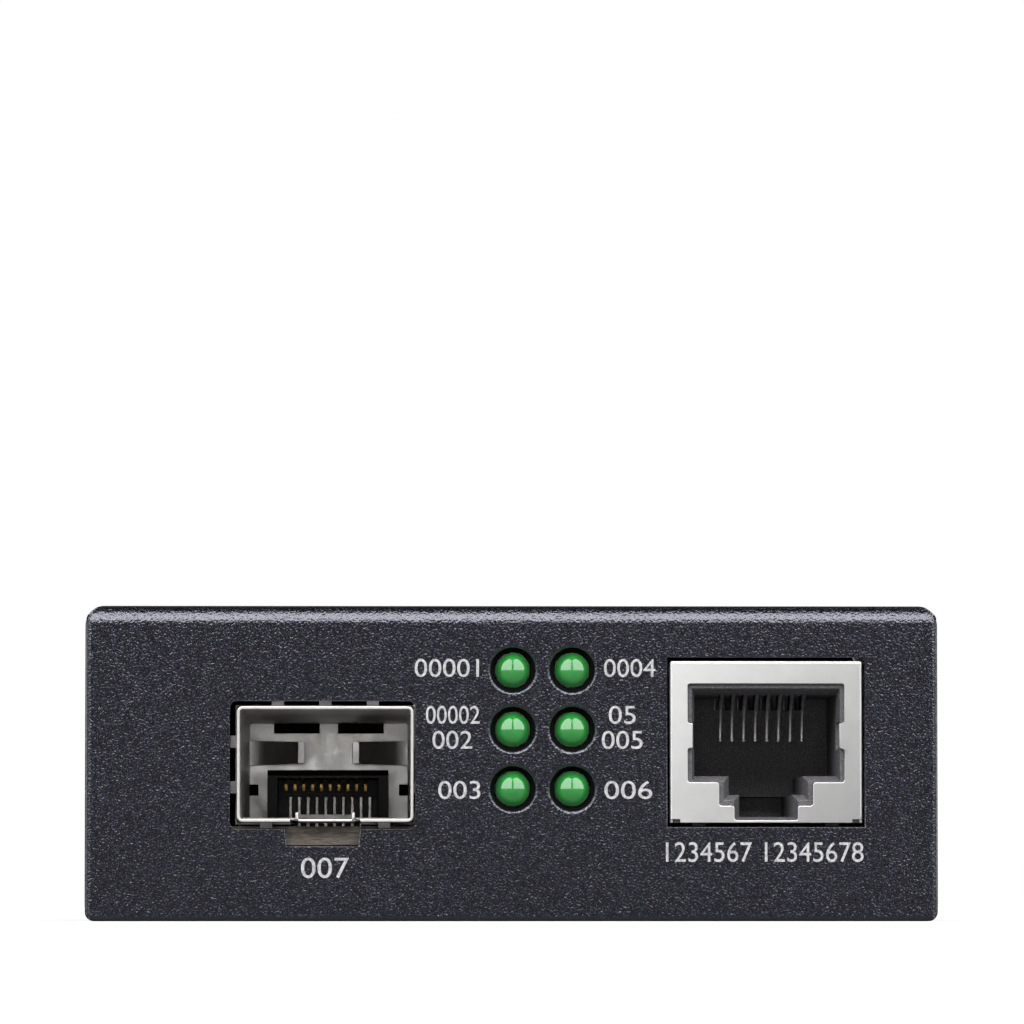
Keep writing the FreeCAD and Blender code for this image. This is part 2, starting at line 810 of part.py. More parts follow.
# --- network port ---
def mouth_corners():
    """Stepped opening in the shield's face: plug, latch and key, (x, z, radius)."""
    wide = mouth_width / 2
    step = mouth_step_width / 2
    key = mouth_key_width / 2
    half = [(wide, mouth_high), (wide, mouth_low), (step, mouth_low), (step, mouth_step_low),
            (key, mouth_step_low), (key, mouth_key_low)]
    right = [(port_x + x, port_bottom + z, 0) for x, z in half]
    left = [(port_x - x, port_bottom + z, 0) for x, z in reversed(half)]
    return right + left


def shield_tab_spots():
    """Solder tabs of the shield, (x, y)."""
    off = port_width / 2 - port_sheet / 2
    return [(port_x + side * off, port_front + shield_tab_behind) for side in (-1, 1)]


def network_port_shield():
    """Drawn metal shield, open below, with a stepped mouth and inturned side springs."""
    half = port_width / 2
    inner = half - port_sheet
    shield = block(port_x - half, port_x + half, port_front, port_back, port_bottom, port_top)
    hollow = block(port_x - inner, port_x + inner, port_front + port_sheet, port_back - port_sheet,
                   port_bottom - over, port_top - port_sheet)
    mouth = front_plate(mouth_corners(), port_front - over, port_front + port_sheet + over / 2)
    foot = block(port_x + half - shield_foot_width, port_x + half + over, port_front - over,
                 port_front + port_sheet, port_bottom - over, port_bottom + shield_foot_height)
    shield = shield.cut([hollow, mouth, foot, mirrored(foot, port_x)])
    edge = port_x + mouth_width / 2
    low = port_bottom + mouth_tab_low
    high = port_bottom + mouth_tab_high
    face = block(edge - mouth_tab_reach, edge + over / 2, port_front, port_front + port_sheet, low, high)
    leg = block(edge - mouth_tab_reach, edge - mouth_tab_reach + port_sheet, port_front,
                port_front + mouth_tab_depth, low, high)
    additions = [face, leg, mirrored(face, port_x), mirrored(leg, port_x)]
    for x, y in shield_tab_spots():
        additions.append(block(x - port_sheet / 2, x + port_sheet / 2, y - shield_tab_width / 2,
                               y + shield_tab_width / 2, pin_tip, port_bottom + port_sheet))
    return shield.fuse(additions).removeSplitter()


def cavity_wire(grow, y):
    """Outline of the plug cavity at depth y, widened by grow at its flared mouth."""
    wide = cavity_width / 2 + grow / 2
    step = cavity_step_width / 2 + grow
    key = cavity_key_width / 2 + grow
    half = [(wide, cavity_high + grow), (wide, cavity_low - grow), (step, cavity_low - grow),
            (step, cavity_step_low - grow), (key, cavity_step_low - grow),
            (key, cavity_key_low - grow / 2)]
    points = [Vector(port_x + x, y, port_bottom + z) for x, z in half]
    points += [Vector(port_x - x, y, port_bottom + z) for x, z in reversed(half)]
    return Part.makePolygon(points + points[:1])


def port_peg_spots():
    """Locating pegs of the port's housing, (x, y)."""
    return [(port_x + side * housing_peg_spread / 2, port_front + housing_peg_behind)
            for side in (-1, 1)]


def wire_spots():
    """Board pins of the port's contacts, (x, y), alternately in two rows."""
    first = housing_back + wire_row_gap
    return [(port_x + x, first + (i % 2) * wire_row_pitch)
            for i, x in enumerate(row(wire_count, wire_pitch))]


def network_port_housing():
    """Moulded body with the flared plug cavity and a slot for each contact in its ceiling."""
    half = port_width / 2 - port_sheet - housing_slack
    top = port_top - port_sheet - housing_slack
    housing = block(port_x - half, port_x + half, housing_front, housing_back, port_bottom, top)
    lead_in = Part.makeLoft([cavity_wire(cavity_flare, housing_front),
                             cavity_wire(0, housing_front + cavity_lead_in)], True, True)
    cavity = Part.Face(cavity_wire(0, housing_front + cavity_lead_in / 2)).extrude(
        Vector(0, cavity_depth - cavity_lead_in / 2, 0))
    key_half = cavity_key_width / 2
    channel = block(port_x - key_half, port_x + key_half, housing_front + cavity_depth - over,
                    housing_back - latch_channel_end, port_bottom + cavity_key_low,
                    port_bottom + cavity_step_low)
    cuts = [lead_in, cavity, channel]
    slot_half = wire_size / 2 + wire_channel_gap
    slot_top = port_bottom + wire_run_height + wire_size / 2 + wire_channel_gap
    slot_front = port_front + wire_fold_behind - wire_size - wire_channel_gap
    for x, _ in wire_spots():
        cuts.append(block(x - slot_half, x + slot_half, slot_front, housing_back + over,
                          port_bottom + cavity_high - over, slot_top))
    edge = port_x + mouth_width / 2 - mouth_tab_reach
    groove = block(port_x + cavity_width / 2 - over, edge + port_sheet + mouth_tab_slack,
                   housing_front - over, port_front + mouth_tab_depth + mouth_tab_slack,
                   port_bottom + mouth_tab_low - mouth_tab_slack,
                   port_bottom + mouth_tab_high + mouth_tab_slack)
    cuts += [groove, mirrored(groove, port_x)]
    housing = housing.cut(cuts)
    seats = []
    for x, y in port_peg_spots():
        seats.append(block(x - housing_peg / 2, x + housing_peg / 2, y - housing_peg / 2,
                           y + housing_peg / 2, board_bottom, port_bottom + cavity_key_low))
        seats.append(block(x - housing_rib / 2, x + housing_rib / 2, board_front, housing_back,
                           board_top, port_bottom + cavity_key_low))
    return housing.fuse(seats).removeSplitter()


def network_port_contacts():
    """Sprung wires: board pin, run over the cavity, fold at the front and free tip."""
    run = port_bottom + wire_run_height
    fold_y = port_front + wire_fold_behind
    tip_y = port_front + wire_tip_behind
    tip_z = port_bottom + wire_tip_height
    wires = []
    for x, y in wire_spots():
        path = [(y, pin_tip), (y, run), (fold_y, run), (fold_y, run - wire_nose), (tip_y, tip_z)]
        wires.append(side_plate(folded_strip(path, wire_size),
                                x - wire_size / 2, x + wire_size / 2))
    return wires


# --- status lamps ---
def lead_spots():
    """Board pins of the lamps, (x, y): higher lamps bend down further back."""
    spots = []
    for column in row(lamp_columns, lamp_pitch):
        for level in range(lamp_rows):
            y = lamp_back + lead_first + level * lead_row_pitch
            spots += [(lamp_x + column - lead_spread / 2, y), (lamp_x + column + lead_spread / 2, y)]
    return spots


def lamp(x, z):
    """Lamp body, turned from half its outline: a straight barrel and a blunt dome."""
    radius = lamp_diameter / 2
    outline = [(0, lamp_back), (radius, lamp_back), (radius, lamp_tip + lamp_dome),
               (lamp_tip_flat / 2, lamp_tip), (0, lamp_tip), (0, lamp_back)]
    face = Part.Face(Part.makePolygon([Vector(x + r, y, z) for r, y in outline]))
    return face.revolve(Vector(x, 0, z), Vector(0, 1, 0), 360)


def lamp_leads():
    """Two leads for each lamp, bent down into the board."""
    leads = []
    for column in row(lamp_columns, lamp_pitch):
        for level, height in enumerate(row(lamp_rows, lamp_pitch)):
            y = lamp_back + lead_first + level * lead_row_pitch
            z = lamp_z + height
            path = [(lamp_back, z), (y, z), (y, pin_tip)]
            for side in (-1, 1):
                x = lamp_x + column + side * lead_spread / 2
                leads.append(side_plate(folded_strip(path, lead_size),
                                        x - lead_size / 2, x + lead_size / 2))
    return leads


def lamp_holder():
    """Block that stands on the board and takes each lamp from behind."""
    half = (lamp_columns - 1) * lamp_pitch / 2 + holder_margin
    top = lamp_z + (lamp_rows - 1) * lamp_pitch / 2 + holder_margin
    holder = side_plate(
        [(lamp_back, board_top, 0), (lamp_back, top, 0), (holder_front, top, 0),
         (holder_front, board_top + holder_lip, 0), (board_front, board_top + holder_lip, 0),
         (board_front, board_top, 0)], lamp_x - half, lamp_x + half)
    reach = (lamp_diameter / 2 + lamp_slack) / math.cos(math.pi / 8)
    eighth = math.pi / 4
    turns = [(i + 0.5) * eighth for i in range(8)]
    pockets = [front_plate([(x + reach * math.cos(a), z + reach * math.sin(a), 0) for a in turns],
                           holder_front - over, lamp_back + over) for x, z in lamp_spots()]
    return holder.cut(pockets)


# --- power jack ---
def power_tag_spots():
    """Board tags of the jack's pin and spring, (x, y)."""
    inner_end = power_face - power_depth
    return [(power_x, inner_end - power_tag_sheet / 2), (power_x, inner_end + power_spring_tag)]


def power_spring_path():
    """Middle line of the sleeve spring, (y, z), from its tag to its free end."""
    tag_y = power_tag_spots()[1][1]
    bore_floor = power_z - power_bore / 2
    rest = bore_floor - power_spring_slot / 2
    end = power_face - power_pin_short - power_tag_sheet
    crest = (tag_y + end) / 2
    return [(tag_y, pin_tip), (tag_y, rest), (tag_y + over, rest),
            (crest, bore_floor + power_spring_bow), (end, rest)]


def power_jack_housing():
    """Moulded socket body with its bore, the pin's hole and a slot for the sleeve spring."""
    half = power_width / 2
    inner_end = power_face - power_depth
    top = board_top + power_height
    body = front_plate(
        rectangle(power_x - half, power_x + half, board_top, top), inner_end, power_face)
    waist = block(power_x - half - over, power_x + half + over, inner_end - over,
                  power_face - power_nose_depth, top - power_waist_drop, top + over)
    slot_half = power_tag_width / 2 + power_slack
    tag_half = power_tag_sheet / 2 + power_slack
    tag_y = power_tag_spots()[1][1]
    bore_floor = power_z - power_bore / 2
    root_half = power_pin_root / 2 + power_slack
    cuts = [
        waist,
        bar(power_bore / 2, power_x, power_z, power_face - power_bore_depth, power_face + over),
        block(power_x - root_half, power_x + root_half, inner_end - over, power_face - over,
              power_z - root_half, power_z + root_half),
        block(power_x - slot_half, power_x + slot_half, tag_y - tag_half,
              power_face - power_pin_short, bore_floor - power_spring_slot, power_z),
        block(power_x - slot_half, power_x + slot_half, tag_y - tag_half, tag_y + tag_half,
              board_top - over, power_z),
    ]
    return body.cut(cuts)


def power_jack_pin():
    """Centre pin on a square root, with the tag that takes it down to the board."""
    inner_end = power_face - power_depth
    tip = power_face - power_pin_short
    pin = bar(power_pin / 2, power_x, power_z, inner_end, tip)
    root_half = power_pin_root / 2
    root = block(power_x - root_half, power_x + root_half, inner_end - power_tag_sheet,
                 power_face - power_bore_depth, power_z - root_half, power_z + root_half)
    tag = block(power_x - power_tag_width / 2, power_x + power_tag_width / 2,
                inner_end - power_tag_sheet, inner_end, pin_tip, power_z + power_pin)
    return pin.fuse([root, tag]).removeSplitter()


def power_jack_spring():
    """Sprung strip that meets the plug's sleeve."""
    return side_plate(folded_strip(power_spring_path(), power_tag_sheet / 2),
                      power_x - power_tag_width / 2, power_x + power_tag_width / 2)


# --- mode switch ---
def switch_base_depth():
    """Depth left for the base behind the slider and the can's face."""
    return switch_depth - switch_sheet - slider_thickness - 2 * slider_slack


def switch_pin_spots():
    """Terminals of the switch, (x, y)."""
    y = switch_face - switch_depth + switch_base_depth() / 2
    return [(switch_x + x, y) for x in row(switch_pins, switch_pin_pitch)]


def switch_foot_spots():
    """Feet of the switch's can, (x, y)."""
    off = switch_width / 2 - switch_sheet / 2
    y = switch_face - switch_depth / 2
    return [(switch_x - off, y), (switch_x + off, y)]


def switch_frame():
    """Folded can with a window for the handle and two feet through the board."""
    half = switch_width / 2
    inner = half - switch_sheet
    top = board_top + switch_height
    can = block(switch_x - half, switch_x + half, switch_face - switch_depth, switch_face,
                board_top, top)
    hollow = block(switch_x - inner, switch_x + inner, switch_face - switch_depth - over,
                   switch_face - switch_sheet, board_top - over, top - switch_sheet)
    reach = (switch_travel + handle_width) / 2 + slider_slack
    rise = handle_height / 2 + slider_slack
    window = block(switch_x - reach, switch_x + reach, switch_face - switch_sheet - over,
                   switch_face + over, switch_z - rise, switch_z + rise)
    feet = [block(x - switch_sheet / 2, x + switch_sheet / 2, y - switch_foot_width / 2,
                  y + switch_foot_width / 2, pin_tip, board_top + over)
            for x, y in switch_foot_spots()]
    return can.cut([hollow, window]).fuse(feet).removeSplitter()


def switch_base():
    """Insulating base that closes the can and takes the terminals."""
    half = switch_width / 2 - switch_sheet - press_slack
    y = switch_face - switch_depth
    base = block(switch_x - half, switch_x + half, y, y + switch_base_depth(),
                 board_top, board_top + switch_height - switch_sheet - press_slack)
    socket_half = switch_pin_size / 2 + press_slack
    sockets = [block(px - socket_half, px + socket_half, py - socket_half, py + socket_half,
                     board_top - over, board_top + switch_pin_root)
               for px, py in switch_pin_spots()]
    return base.cut(sockets)


def switch_terminals():
    half = switch_pin_size / 2
    return [block(x - half, x + half, y - half, y + half, pin_tip, board_top + switch_pin_root)
            for x, y in switch_pin_spots()]


def mode_slider():
    """Slider plate with its handle, at the left end of its travel."""
    x = switch_x - switch_travel / 2
    y1 = switch_face - switch_sheet - slider_slack
    plate = block(x - slider_width / 2, x + slider_width / 2, y1 - slider_thickness, y1,
                  board_top + slider_slack, board_top + switch_height - switch_sheet - slider_slack)
    handle = block(x - handle_width / 2, x + handle_width / 2, y1 - slider_thickness,
                   rear - handle_short, switch_z - handle_height / 2, switch_z + handle_height / 2)
    return plate.fuse(handle).removeSplitter()


# --- parts on the board ---
def seated(size, place):
    """Block that stands on the board."""
    x, y = place
    width, depth, height = size
    return block(x - width / 2, x + width / 2, y - depth / 2, y + depth / 2,
                 board_top, board_top + height)


def regulator():
    """Power package with its soldered tab."""
    x, y = regulator_place
    width, depth, height = regulator_size
    body = seated((width, depth / 2, height), regulator_place)
    tab = seated((width / 2, depth, regulator_tab), regulator_place)
    return body.fuse(tab).removeSplitter()


def save(name, shape):
    """Write one node: a single solid, or a group of separate ones."""
    solids = shape if isinstance(shape, list) else [shape]
    whole = solids[0] if len(solids) == 1 else Part.makeCompound(solids)
    whole.exportStep(f"parts/{name}.step")


nodes = {
    "top_cover": top_cover,
    "base_tray": base_tray,
    "case_screws": case_screws,
    "circuit_board": circuit_board,
    "board_supports": board_supports,
    "sfp_cage_shell": sfp_cage_shell,
    "sfp_cage_floor": sfp_cage_floor,
    "sfp_ground_springs": sfp_ground_springs,
    "sfp_connector_housing": sfp_connector_housing,
    "sfp_contacts_upper": sfp_contacts_upper,
    "sfp_contacts_lower": sfp_contacts_lower,
    "network_port_shield": network_port_shield,
    "network_port_housing": network_port_housing,
    "network_port_contacts": network_port_contacts,
    "lamp_holder": lamp_holder,
    "lamp_leads": lamp_leads,
    "power_jack_housing": power_jack_housing,
    "power_jack_pin": power_jack_pin,
    "power_jack_spring": power_jack_spring,
    "switch_frame": switch_frame,
    "switch_base": switch_base,
    "switch_terminals": switch_terminals,
    "mode_slider": mode_slider,
    "converter_chip": lambda: seated(chip_size, chip_place),
    "lan_transformer": lambda: seated(transformer_size, transformer_place),
    "crystal": lambda: seated(crystal_size, crystal_place),
    "power_inductor": lambda: seated(coil_size, coil_place),
    "regulator": regulator,
}

os.makedirs("parts", exist_ok=True)
for node, build in nodes.items():
    save(node, build())
for number, (x, z) in enumerate(lamp_spots(), start=1):
    save(f"lamp_{number}", lamp(x, z))
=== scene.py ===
import math

import bmesh
import bpy
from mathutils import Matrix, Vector


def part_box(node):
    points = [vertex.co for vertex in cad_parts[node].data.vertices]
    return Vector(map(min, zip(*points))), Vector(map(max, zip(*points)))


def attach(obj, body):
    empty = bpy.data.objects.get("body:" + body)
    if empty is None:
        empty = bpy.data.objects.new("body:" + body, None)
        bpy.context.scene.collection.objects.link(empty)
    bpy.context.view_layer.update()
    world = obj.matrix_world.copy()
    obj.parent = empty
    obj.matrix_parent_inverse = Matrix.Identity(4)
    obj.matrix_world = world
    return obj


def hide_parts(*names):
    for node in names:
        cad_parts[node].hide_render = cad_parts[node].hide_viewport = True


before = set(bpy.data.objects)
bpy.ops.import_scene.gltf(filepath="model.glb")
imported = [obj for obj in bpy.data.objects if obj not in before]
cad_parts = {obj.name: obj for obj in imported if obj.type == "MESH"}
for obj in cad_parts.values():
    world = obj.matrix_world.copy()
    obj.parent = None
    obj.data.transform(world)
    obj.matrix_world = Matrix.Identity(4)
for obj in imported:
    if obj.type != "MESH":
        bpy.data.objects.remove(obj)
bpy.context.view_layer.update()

# Fibre media converter: powder-coated steel case, module cage, status lamps and network port.
# Every piece is in metres in the CAD's frame: X right seen from the front, Y to the rear, Z up.
# Sizes are written in millimetres and brought to metres with MM.

MM = 0.001
NEAR = 0.01                 # mm: an edge or corner this close to a face lies on it
LENGTHWISE = 0.99           # an edge with this share along one axis runs along it
SHARP = math.radians(30)    # edges that turn more than this can be rounded
CORNER = math.radians(34)   # and those that still do so afterwards stay sharp in the shading
CASE = "case"
LAMP_NODES = [f"lamp_{i}" for i in range(1, 7)]


# --- node tools ---
def plug(tree, node, inputs):
    """Links or sets a node's inputs, given by name or number."""
    for key, value in inputs.items():
        socket = node.inputs[key]
        if isinstance(value, bpy.types.NodeSocket):
            tree.links.new(value, socket)
        else:
            socket.default_value = value


def add(tree, kind, inputs=None, **settings):
    """New shader or geometry node with its settings and its inputs."""
    made = tree.nodes.new(kind)
    for key, value in settings.items():
        setattr(made, key, value)
    plug(tree, made, inputs or {})
    return made


def reckoned(tree, operation, *values):
    """Result of a Math node."""
    return add(tree, "ShaderNodeMath", dict(enumerate(values)), operation=operation).outputs[0]


def parts_of(tree, vector):
    """A vector's X, Y and Z."""
    return add(tree, "ShaderNodeSeparateXYZ", {"Vector": vector}).outputs


def span(tree, value, low, high, start=0.0, end=1.0):
    """Value from start..end brought to low..high."""
    return add(tree, "ShaderNodeMapRange",
               {"Value": value, "From Min": start, "From Max": end, "To Min": low, "To Max": high}
               ).outputs["Result"]


# --- material tools ---
def linear(red, green, blue):
    """Colour as written on screen, 0 to 255, for a node's socket."""
    def convert(value):
        value /= 255
        return value / 12.92 if value <= 0.04045 else ((value + 0.055) / 1.055) ** 2.4
    return (convert(red), convert(green), convert(blue), 1.0)


def grey(level):
    """Neutral colour of a given reflectance."""
    return (level, level, level, 1.0)


def new_finish(name, **surface):
    """Material with a Principled shader; returns it with its tree, shader and place in millimetres."""
    material = bpy.data.materials.new(name)
    material.use_nodes = True
    tree = material.node_tree
    shader = tree.nodes["Principled BSDF"]
    plug(tree, shader, {key.replace("_", " "): value for key, value in surface.items()})
    spot = add(tree, "ShaderNodeTexCoord").outputs["Object"]
    place = add(tree, "ShaderNodeMapping", {"Vector": spot, "Scale": (1 / MM, 1 / MM, 1 / MM)})
    return material, tree, shader, place.outputs["Vector"]


def stretched(tree, place, x, y, z):
    """Place drawn out, for grain that runs one way."""
    return add(tree, "ShaderNodeMapping", {"Vector": place, "Scale": (x, y, z)}).outputs["Vector"]


def noise(tree, place, scale, detail=3.0, roughness=0.55):
    """Cloudy pattern from 0 to 1, with about scale grains in each millimetre of place."""
    return add(tree, "ShaderNodeTexNoise",
               {"Vector": place, "Scale": scale, "Detail": detail, "Roughness": roughness}
               ).outputs["Fac"]


def blend_of(tree, factor, low, high):
    """Colour between low and high."""
    colour_a, colour_b, colour_out = 6, 7, 2
    mixed = add(tree, "ShaderNodeMix", {"Factor": factor, colour_a: low, colour_b: high},
                data_type="RGBA")
    return mixed.outputs[colour_out]


def raised(tree, shader, height, depth_mm):
    """Surface relief of a real depth."""
    bump = add(tree, "ShaderNodeBump", {"Height": height, "Distance": depth_mm * MM})
    plug(tree, shader, {"Normal": bump.outputs["Normal"]})


# --- finishes ---
def powder_coat_finish():
    """Black powder coat: a glossy, sandy grain; its colour is painted darker in the grain's hollows,
    and its fine paler specks are painted glints.
    """
    material, tree, shader, place = new_finish("powder_coat", IOR=1.7, Specular_IOR_Level=0.62,
                                               Specular_Tint=(0.87, 0.88, 1.0, 1.0))
    sand = noise(tree, place, 5.0, 2.0, 0.45)
    grit = add(tree, "ShaderNodeTexVoronoi", {"Vector": place, "Scale": 4.8}).outputs["Distance"]
    grains = reckoned(tree, "MULTIPLY_ADD", grit, -0.35, sand)
    # paler specks in the base colour: painted glints off the grain
    specks = span(tree, noise(tree, place, 8.5, 1.0), 0, 1, 0.57, 0.82)
    # the coat's colour follows the grain's height and is darker in its hollows: painted shade in the
    # grain
    coat_with_painted_shade = blend_of(tree, span(tree, grains, 0, 1, 0.15, 0.6), linear(2, 2, 4), linear(13, 13, 22))
    plug(tree, shader, {"Base Color": blend_of(tree, specks, coat_with_painted_shade, linear(66, 66, 84)),
                        "Roughness": span(tree, sand, 0.14, 0.2, 0.3, 0.7)})
    raised(tree, shader, grains, 0.068)
    return material


def rolled_metal_finish(name, colour, dark, roughness):
    """Plated sheet with rolling marks along Y and faint cloudy spots."""
    material, tree, shader, place = new_finish(name, Metallic=1.0)
    grain = noise(tree, stretched(tree, place, 14.0, 0.25, 14.0), 1.0, 4.0)
    cloud = noise(tree, place, 0.7)
    plug(tree, shader, {
        "Base Color": blend_of(tree, span(tree, grain, 0, 1, 0.25, 0.75), dark, colour),
        "Roughness": span(tree, cloud, roughness - 0.05, roughness + 0.09, 0.3, 0.7)})
    raised(tree, shader, grain, 0.004)
    return material


def satin_nickel_finish():
    """Fine satin nickel plating, more frosted towards its upper left than its lower right."""
    material, tree, shader, place = new_finish("satin_nickel", Metallic=1.0)
    frost = noise(tree, place, 18.0, 2.0, 0.6)
    cloud = noise(tree, place, 0.5)
    up_left = add(tree, "ShaderNodeVectorMath", {0: place, 1: (-1.0, 0.0, 0.8)},
                  operation="DOT_PRODUCT").outputs["Value"]
    dullness = span(tree, up_left, 0.3, 0.45, -23.0, 4.0)
    plug(tree, shader, {
        "Base Color": blend_of(tree, cloud, linear(226, 226, 225), linear(243, 243, 242)),
        "Roughness": reckoned(tree, "MULTIPLY_ADD", frost, 0.1, dullness)})
    raised(tree, shader, frost, 0.003)
    return material


def contact_finish(name, bright, worn, roughness):
    """Plated contact, a little uneven along its length."""
    material, tree, shader, place = new_finish(name, Metallic=1.0)
    cloud = noise(tree, place, 1.3)
    plug(tree, shader, {
        "Base Color": blend_of(tree, span(tree, cloud, 0, 1, 0.35, 0.7), bright, worn),
        "Roughness": span(tree, cloud, roughness, roughness + 0.12)})
    raised(tree, shader, noise(tree, place, 16.0), 0.0008)
    return material


def moulding_finish(name, colour, speck, roughness=0.5, grain=7.0, relief=0.012, gloss=0.45):
    """Moulded plastic with a spark-eroded texture and fine specks."""
    material, tree, shader, place = new_finish(name, Specular_IOR_Level=gloss)
    texture = noise(tree, place, grain, 3.0, 0.6)
    specks = noise(tree, place, grain * 1.7, 2.0, 0.7)
    plug(tree, shader, {
        "Base Color": blend_of(tree, span(tree, specks, 0, 1, 0.48, 0.72), colour, speck),
        "Roughness": span(tree, texture, roughness - 0.07, roughness + 0.09, 0.3, 0.7)})
    raised(tree, shader, texture, relief)
    return material


def laminate_finish():
    """Glass laminate: green mask with faint copper routes on top, woven brown-grey cut edges."""
    material, tree, shader, place = new_finish("board_laminate", Specular_IOR_Level=0.5)
    facing = parts_of(tree, add(tree, "ShaderNodeNewGeometry").outputs["Normal"])["Z"]
    flat = span(tree, reckoned(tree, "ABSOLUTE", facing), 0, 1, 0.45, 0.55)
    routes = add(tree, "ShaderNodeTexBrick",
                 {"Vector": place, "Scale": 0.35, "Mortar Size": 0.06, "Mortar Smooth": 0.2,
                  "Brick Width": 0.9, "Row Height": 0.33}).outputs["Fac"]
    mask = blend_of(tree, routes, linear(16, 78, 46), linear(26, 104, 60))
    layers = noise(tree, stretched(tree, place, 1.6, 1.6, 9.0), 1.0, 4.0, 0.65)
    edge = blend_of(tree, span(tree, layers, 0, 1, 0.3, 0.7),
                    linear(62, 57, 52), linear(128, 119, 108))
    plug(tree, shader, {"Base Color": blend_of(tree, flat, edge, mask),
                        "Roughness": span(tree, flat, 0.75, 0.32)})
    raised(tree, shader, layers, 0.03)
    return material


def lens_finish():
    """Tinted, diffused epoxy."""
    material, tree, shader, place = new_finish(
        "green_lens", Roughness=0.12, IOR=1.75, Subsurface_Weight=0.35,
        Subsurface_Radius=(0.3, 1.0, 0.4), Subsurface_Scale=0.0012,
        Specular_IOR_Level=0.5, Coat_Weight=1.0, Coat_Roughness=0.1,
        Sheen_Weight=0.6, Sheen_Roughness=0.35, Sheen_Tint=(0.5, 0.8, 0.5, 1.0))
    haze = noise(tree, place, 0.9, 2.0)
    plug(tree, shader,
         {"Base Color": blend_of(tree, haze, linear(22, 122, 42), linear(36, 146, 56))})
    raised(tree, shader, noise(tree, place, 4.0), 0.002)
    return material


def ink_finish():
    """Screen-printed light grey ink, slightly broken by the coat below."""
    material, tree, shader, place = new_finish("printed_ink", Roughness=0.6)
    sand = noise(tree, place, 4.5, 2.0)
    plug(tree, shader, {"Base Color": blend_of(tree, span(tree, sand, 0, 1, 0.3, 0.7),
                                               linear(140, 140, 143), linear(190, 190, 190))})
    raised(tree, shader, sand, 0.03)
    return material


def floor_finish():
    """Pale floor: white to the eye, keeps the shadow and blends into the white ground far away."""
    material, tree, shader, place = new_finish("studio_floor", Roughness=0.9,
                                               Specular_IOR_Level=0.1, Emission_Color=grey(1.0))
    path = add(tree, "ShaderNodeLightPath").outputs
    away = add(tree, "ShaderNodeVectorMath", {0: place}, operation="LENGTH").outputs["Value"]
    glow = span(tree, away, 0.52, 1.0, 150.0, 700.0)
    # metal shows the white floor only behind the case, from its middle to 60 mm further back
    behind = span(tree, parts_of(tree, place)["Y"], 0.0, 1.0, 0.0, 60.0)
    mirrored = reckoned(tree, "MULTIPLY", path["Is Glossy Ray"], behind)
    seen = reckoned(tree, "MAXIMUM", path["Is Camera Ray"], mirrored)
    through = reckoned(tree, "MAXIMUM", seen, path["Is Transmission Ray"])
    plug(tree, shader, {
        "Base Color": blend_of(tree, path["Is Camera Ray"], grey(0.17), grey(0.38)),
        "Emission Strength": reckoned(tree, "MULTIPLY", through, glow)})
    return material


POWDER = powder_coat_finish()
TINNED = rolled_metal_finish("tinned_sheet", linear(240, 238, 236), linear(206, 203, 200), 0.36)
SPRING = rolled_metal_finish("spring_sheet", linear(196, 195, 194), linear(150, 149, 148), 0.36)
NICKEL = satin_nickel_finish()
GOLD = contact_finish("gold_contact", linear(255, 214, 122), linear(232, 184, 92), 0.4)
TAIL = contact_finish("tinned_tail", linear(226, 225, 222), linear(178, 177, 175), 0.28)
WIRE = contact_finish("sprung_wire", linear(244, 243, 241), linear(216, 215, 212), 0.3)
PIN = contact_finish("bright_pin", linear(232, 231, 228), linear(200, 199, 196), 0.16)
BLACK_ZINC = contact_finish("black_zinc", linear(52, 52, 55), linear(34, 34, 37), 0.34)
BLACK = moulding_finish("black_moulding", linear(20, 20, 22), linear(38, 38, 41))
PORT = moulding_finish("port_moulding", linear(62, 61, 64), linear(126, 123, 125), grain=6.0)
# the lamp holder's black moulding is written darker and duller than the other black mouldings, so the
# gap round each lamp reads near-black: partly painted shade
HOLDER = moulding_finish("lamp_holder_moulding", linear(9, 9, 10), linear(14, 14, 16),
                         roughness=0.7, grain=9.0, relief=0.01, gloss=0.1)
SWITCH = moulding_finish("switch_moulding", linear(28, 28, 29), linear(52, 52, 54),
                         roughness=0.42)
CHIP = moulding_finish("chip_moulding", linear(30, 30, 31), linear(50, 50, 52),
                       roughness=0.6, grain=12.0)
PHENOLIC = moulding_finish("phenolic_sheet", linear(96, 64, 38), linear(140, 98, 62),
                           roughness=0.6)
NYLON = moulding_finish("nylon", linear(206, 203, 192), linear(224, 221, 212),
                        roughness=0.4, grain=3.0, relief=0.006)
FERRITE = moulding_finish("ferrite", linear(58, 58, 61), linear(88, 87, 90),
                          roughness=0.7, grain=9.0, relief=0.02)
LAMINATE = laminate_finish()
LENS = lens_finish()
INK = ink_finish()


# --- shape tools ---
def box_mm(node):
    """A node's lowest and highest corners in millimetres."""
    low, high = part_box(node)
    return low / MM, high / MM


def middle_mm(node):
    """The middle of a node's box in millimetres."""
    low, high = box_mm(node)
    return (low + high) / 2


def node_shape(node):
    """A CAD node's faces as an editable mesh, joined up and with its flat areas whole again."""
    work = bmesh.new()
    work.from_mesh(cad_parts[node].data)
    bmesh.ops.remove_doubles(work, verts=work.verts, dist=0.002 * MM)
    bmesh.ops.dissolve_limit(work, angle_limit=math.radians(0.3), verts=work.verts,
                             edges=work.edges)
    return work


def rounded(work, radius_mm, rounds, chosen=None):
    """Rounds sharp edges. chosen is asked with an edge's middle and direction, in millimetres."""
    edges = []
    for edge in work.edges:
        if not edge.is_manifold or edge.calc_face_angle() < SHARP:
            continue
        start, end = (vertex.co / MM for vertex in edge.verts)
        if chosen is None or chosen((start + end) / 2, (end - start).normalized()):
            edges.append(edge)
    bmesh.ops.bevel(work, geom=edges, offset=radius_mm * MM * math.sqrt(2), offset_type="WIDTH",
                    segments=rounds, profile=0.5, affect="EDGES", clamp_overlap=False)


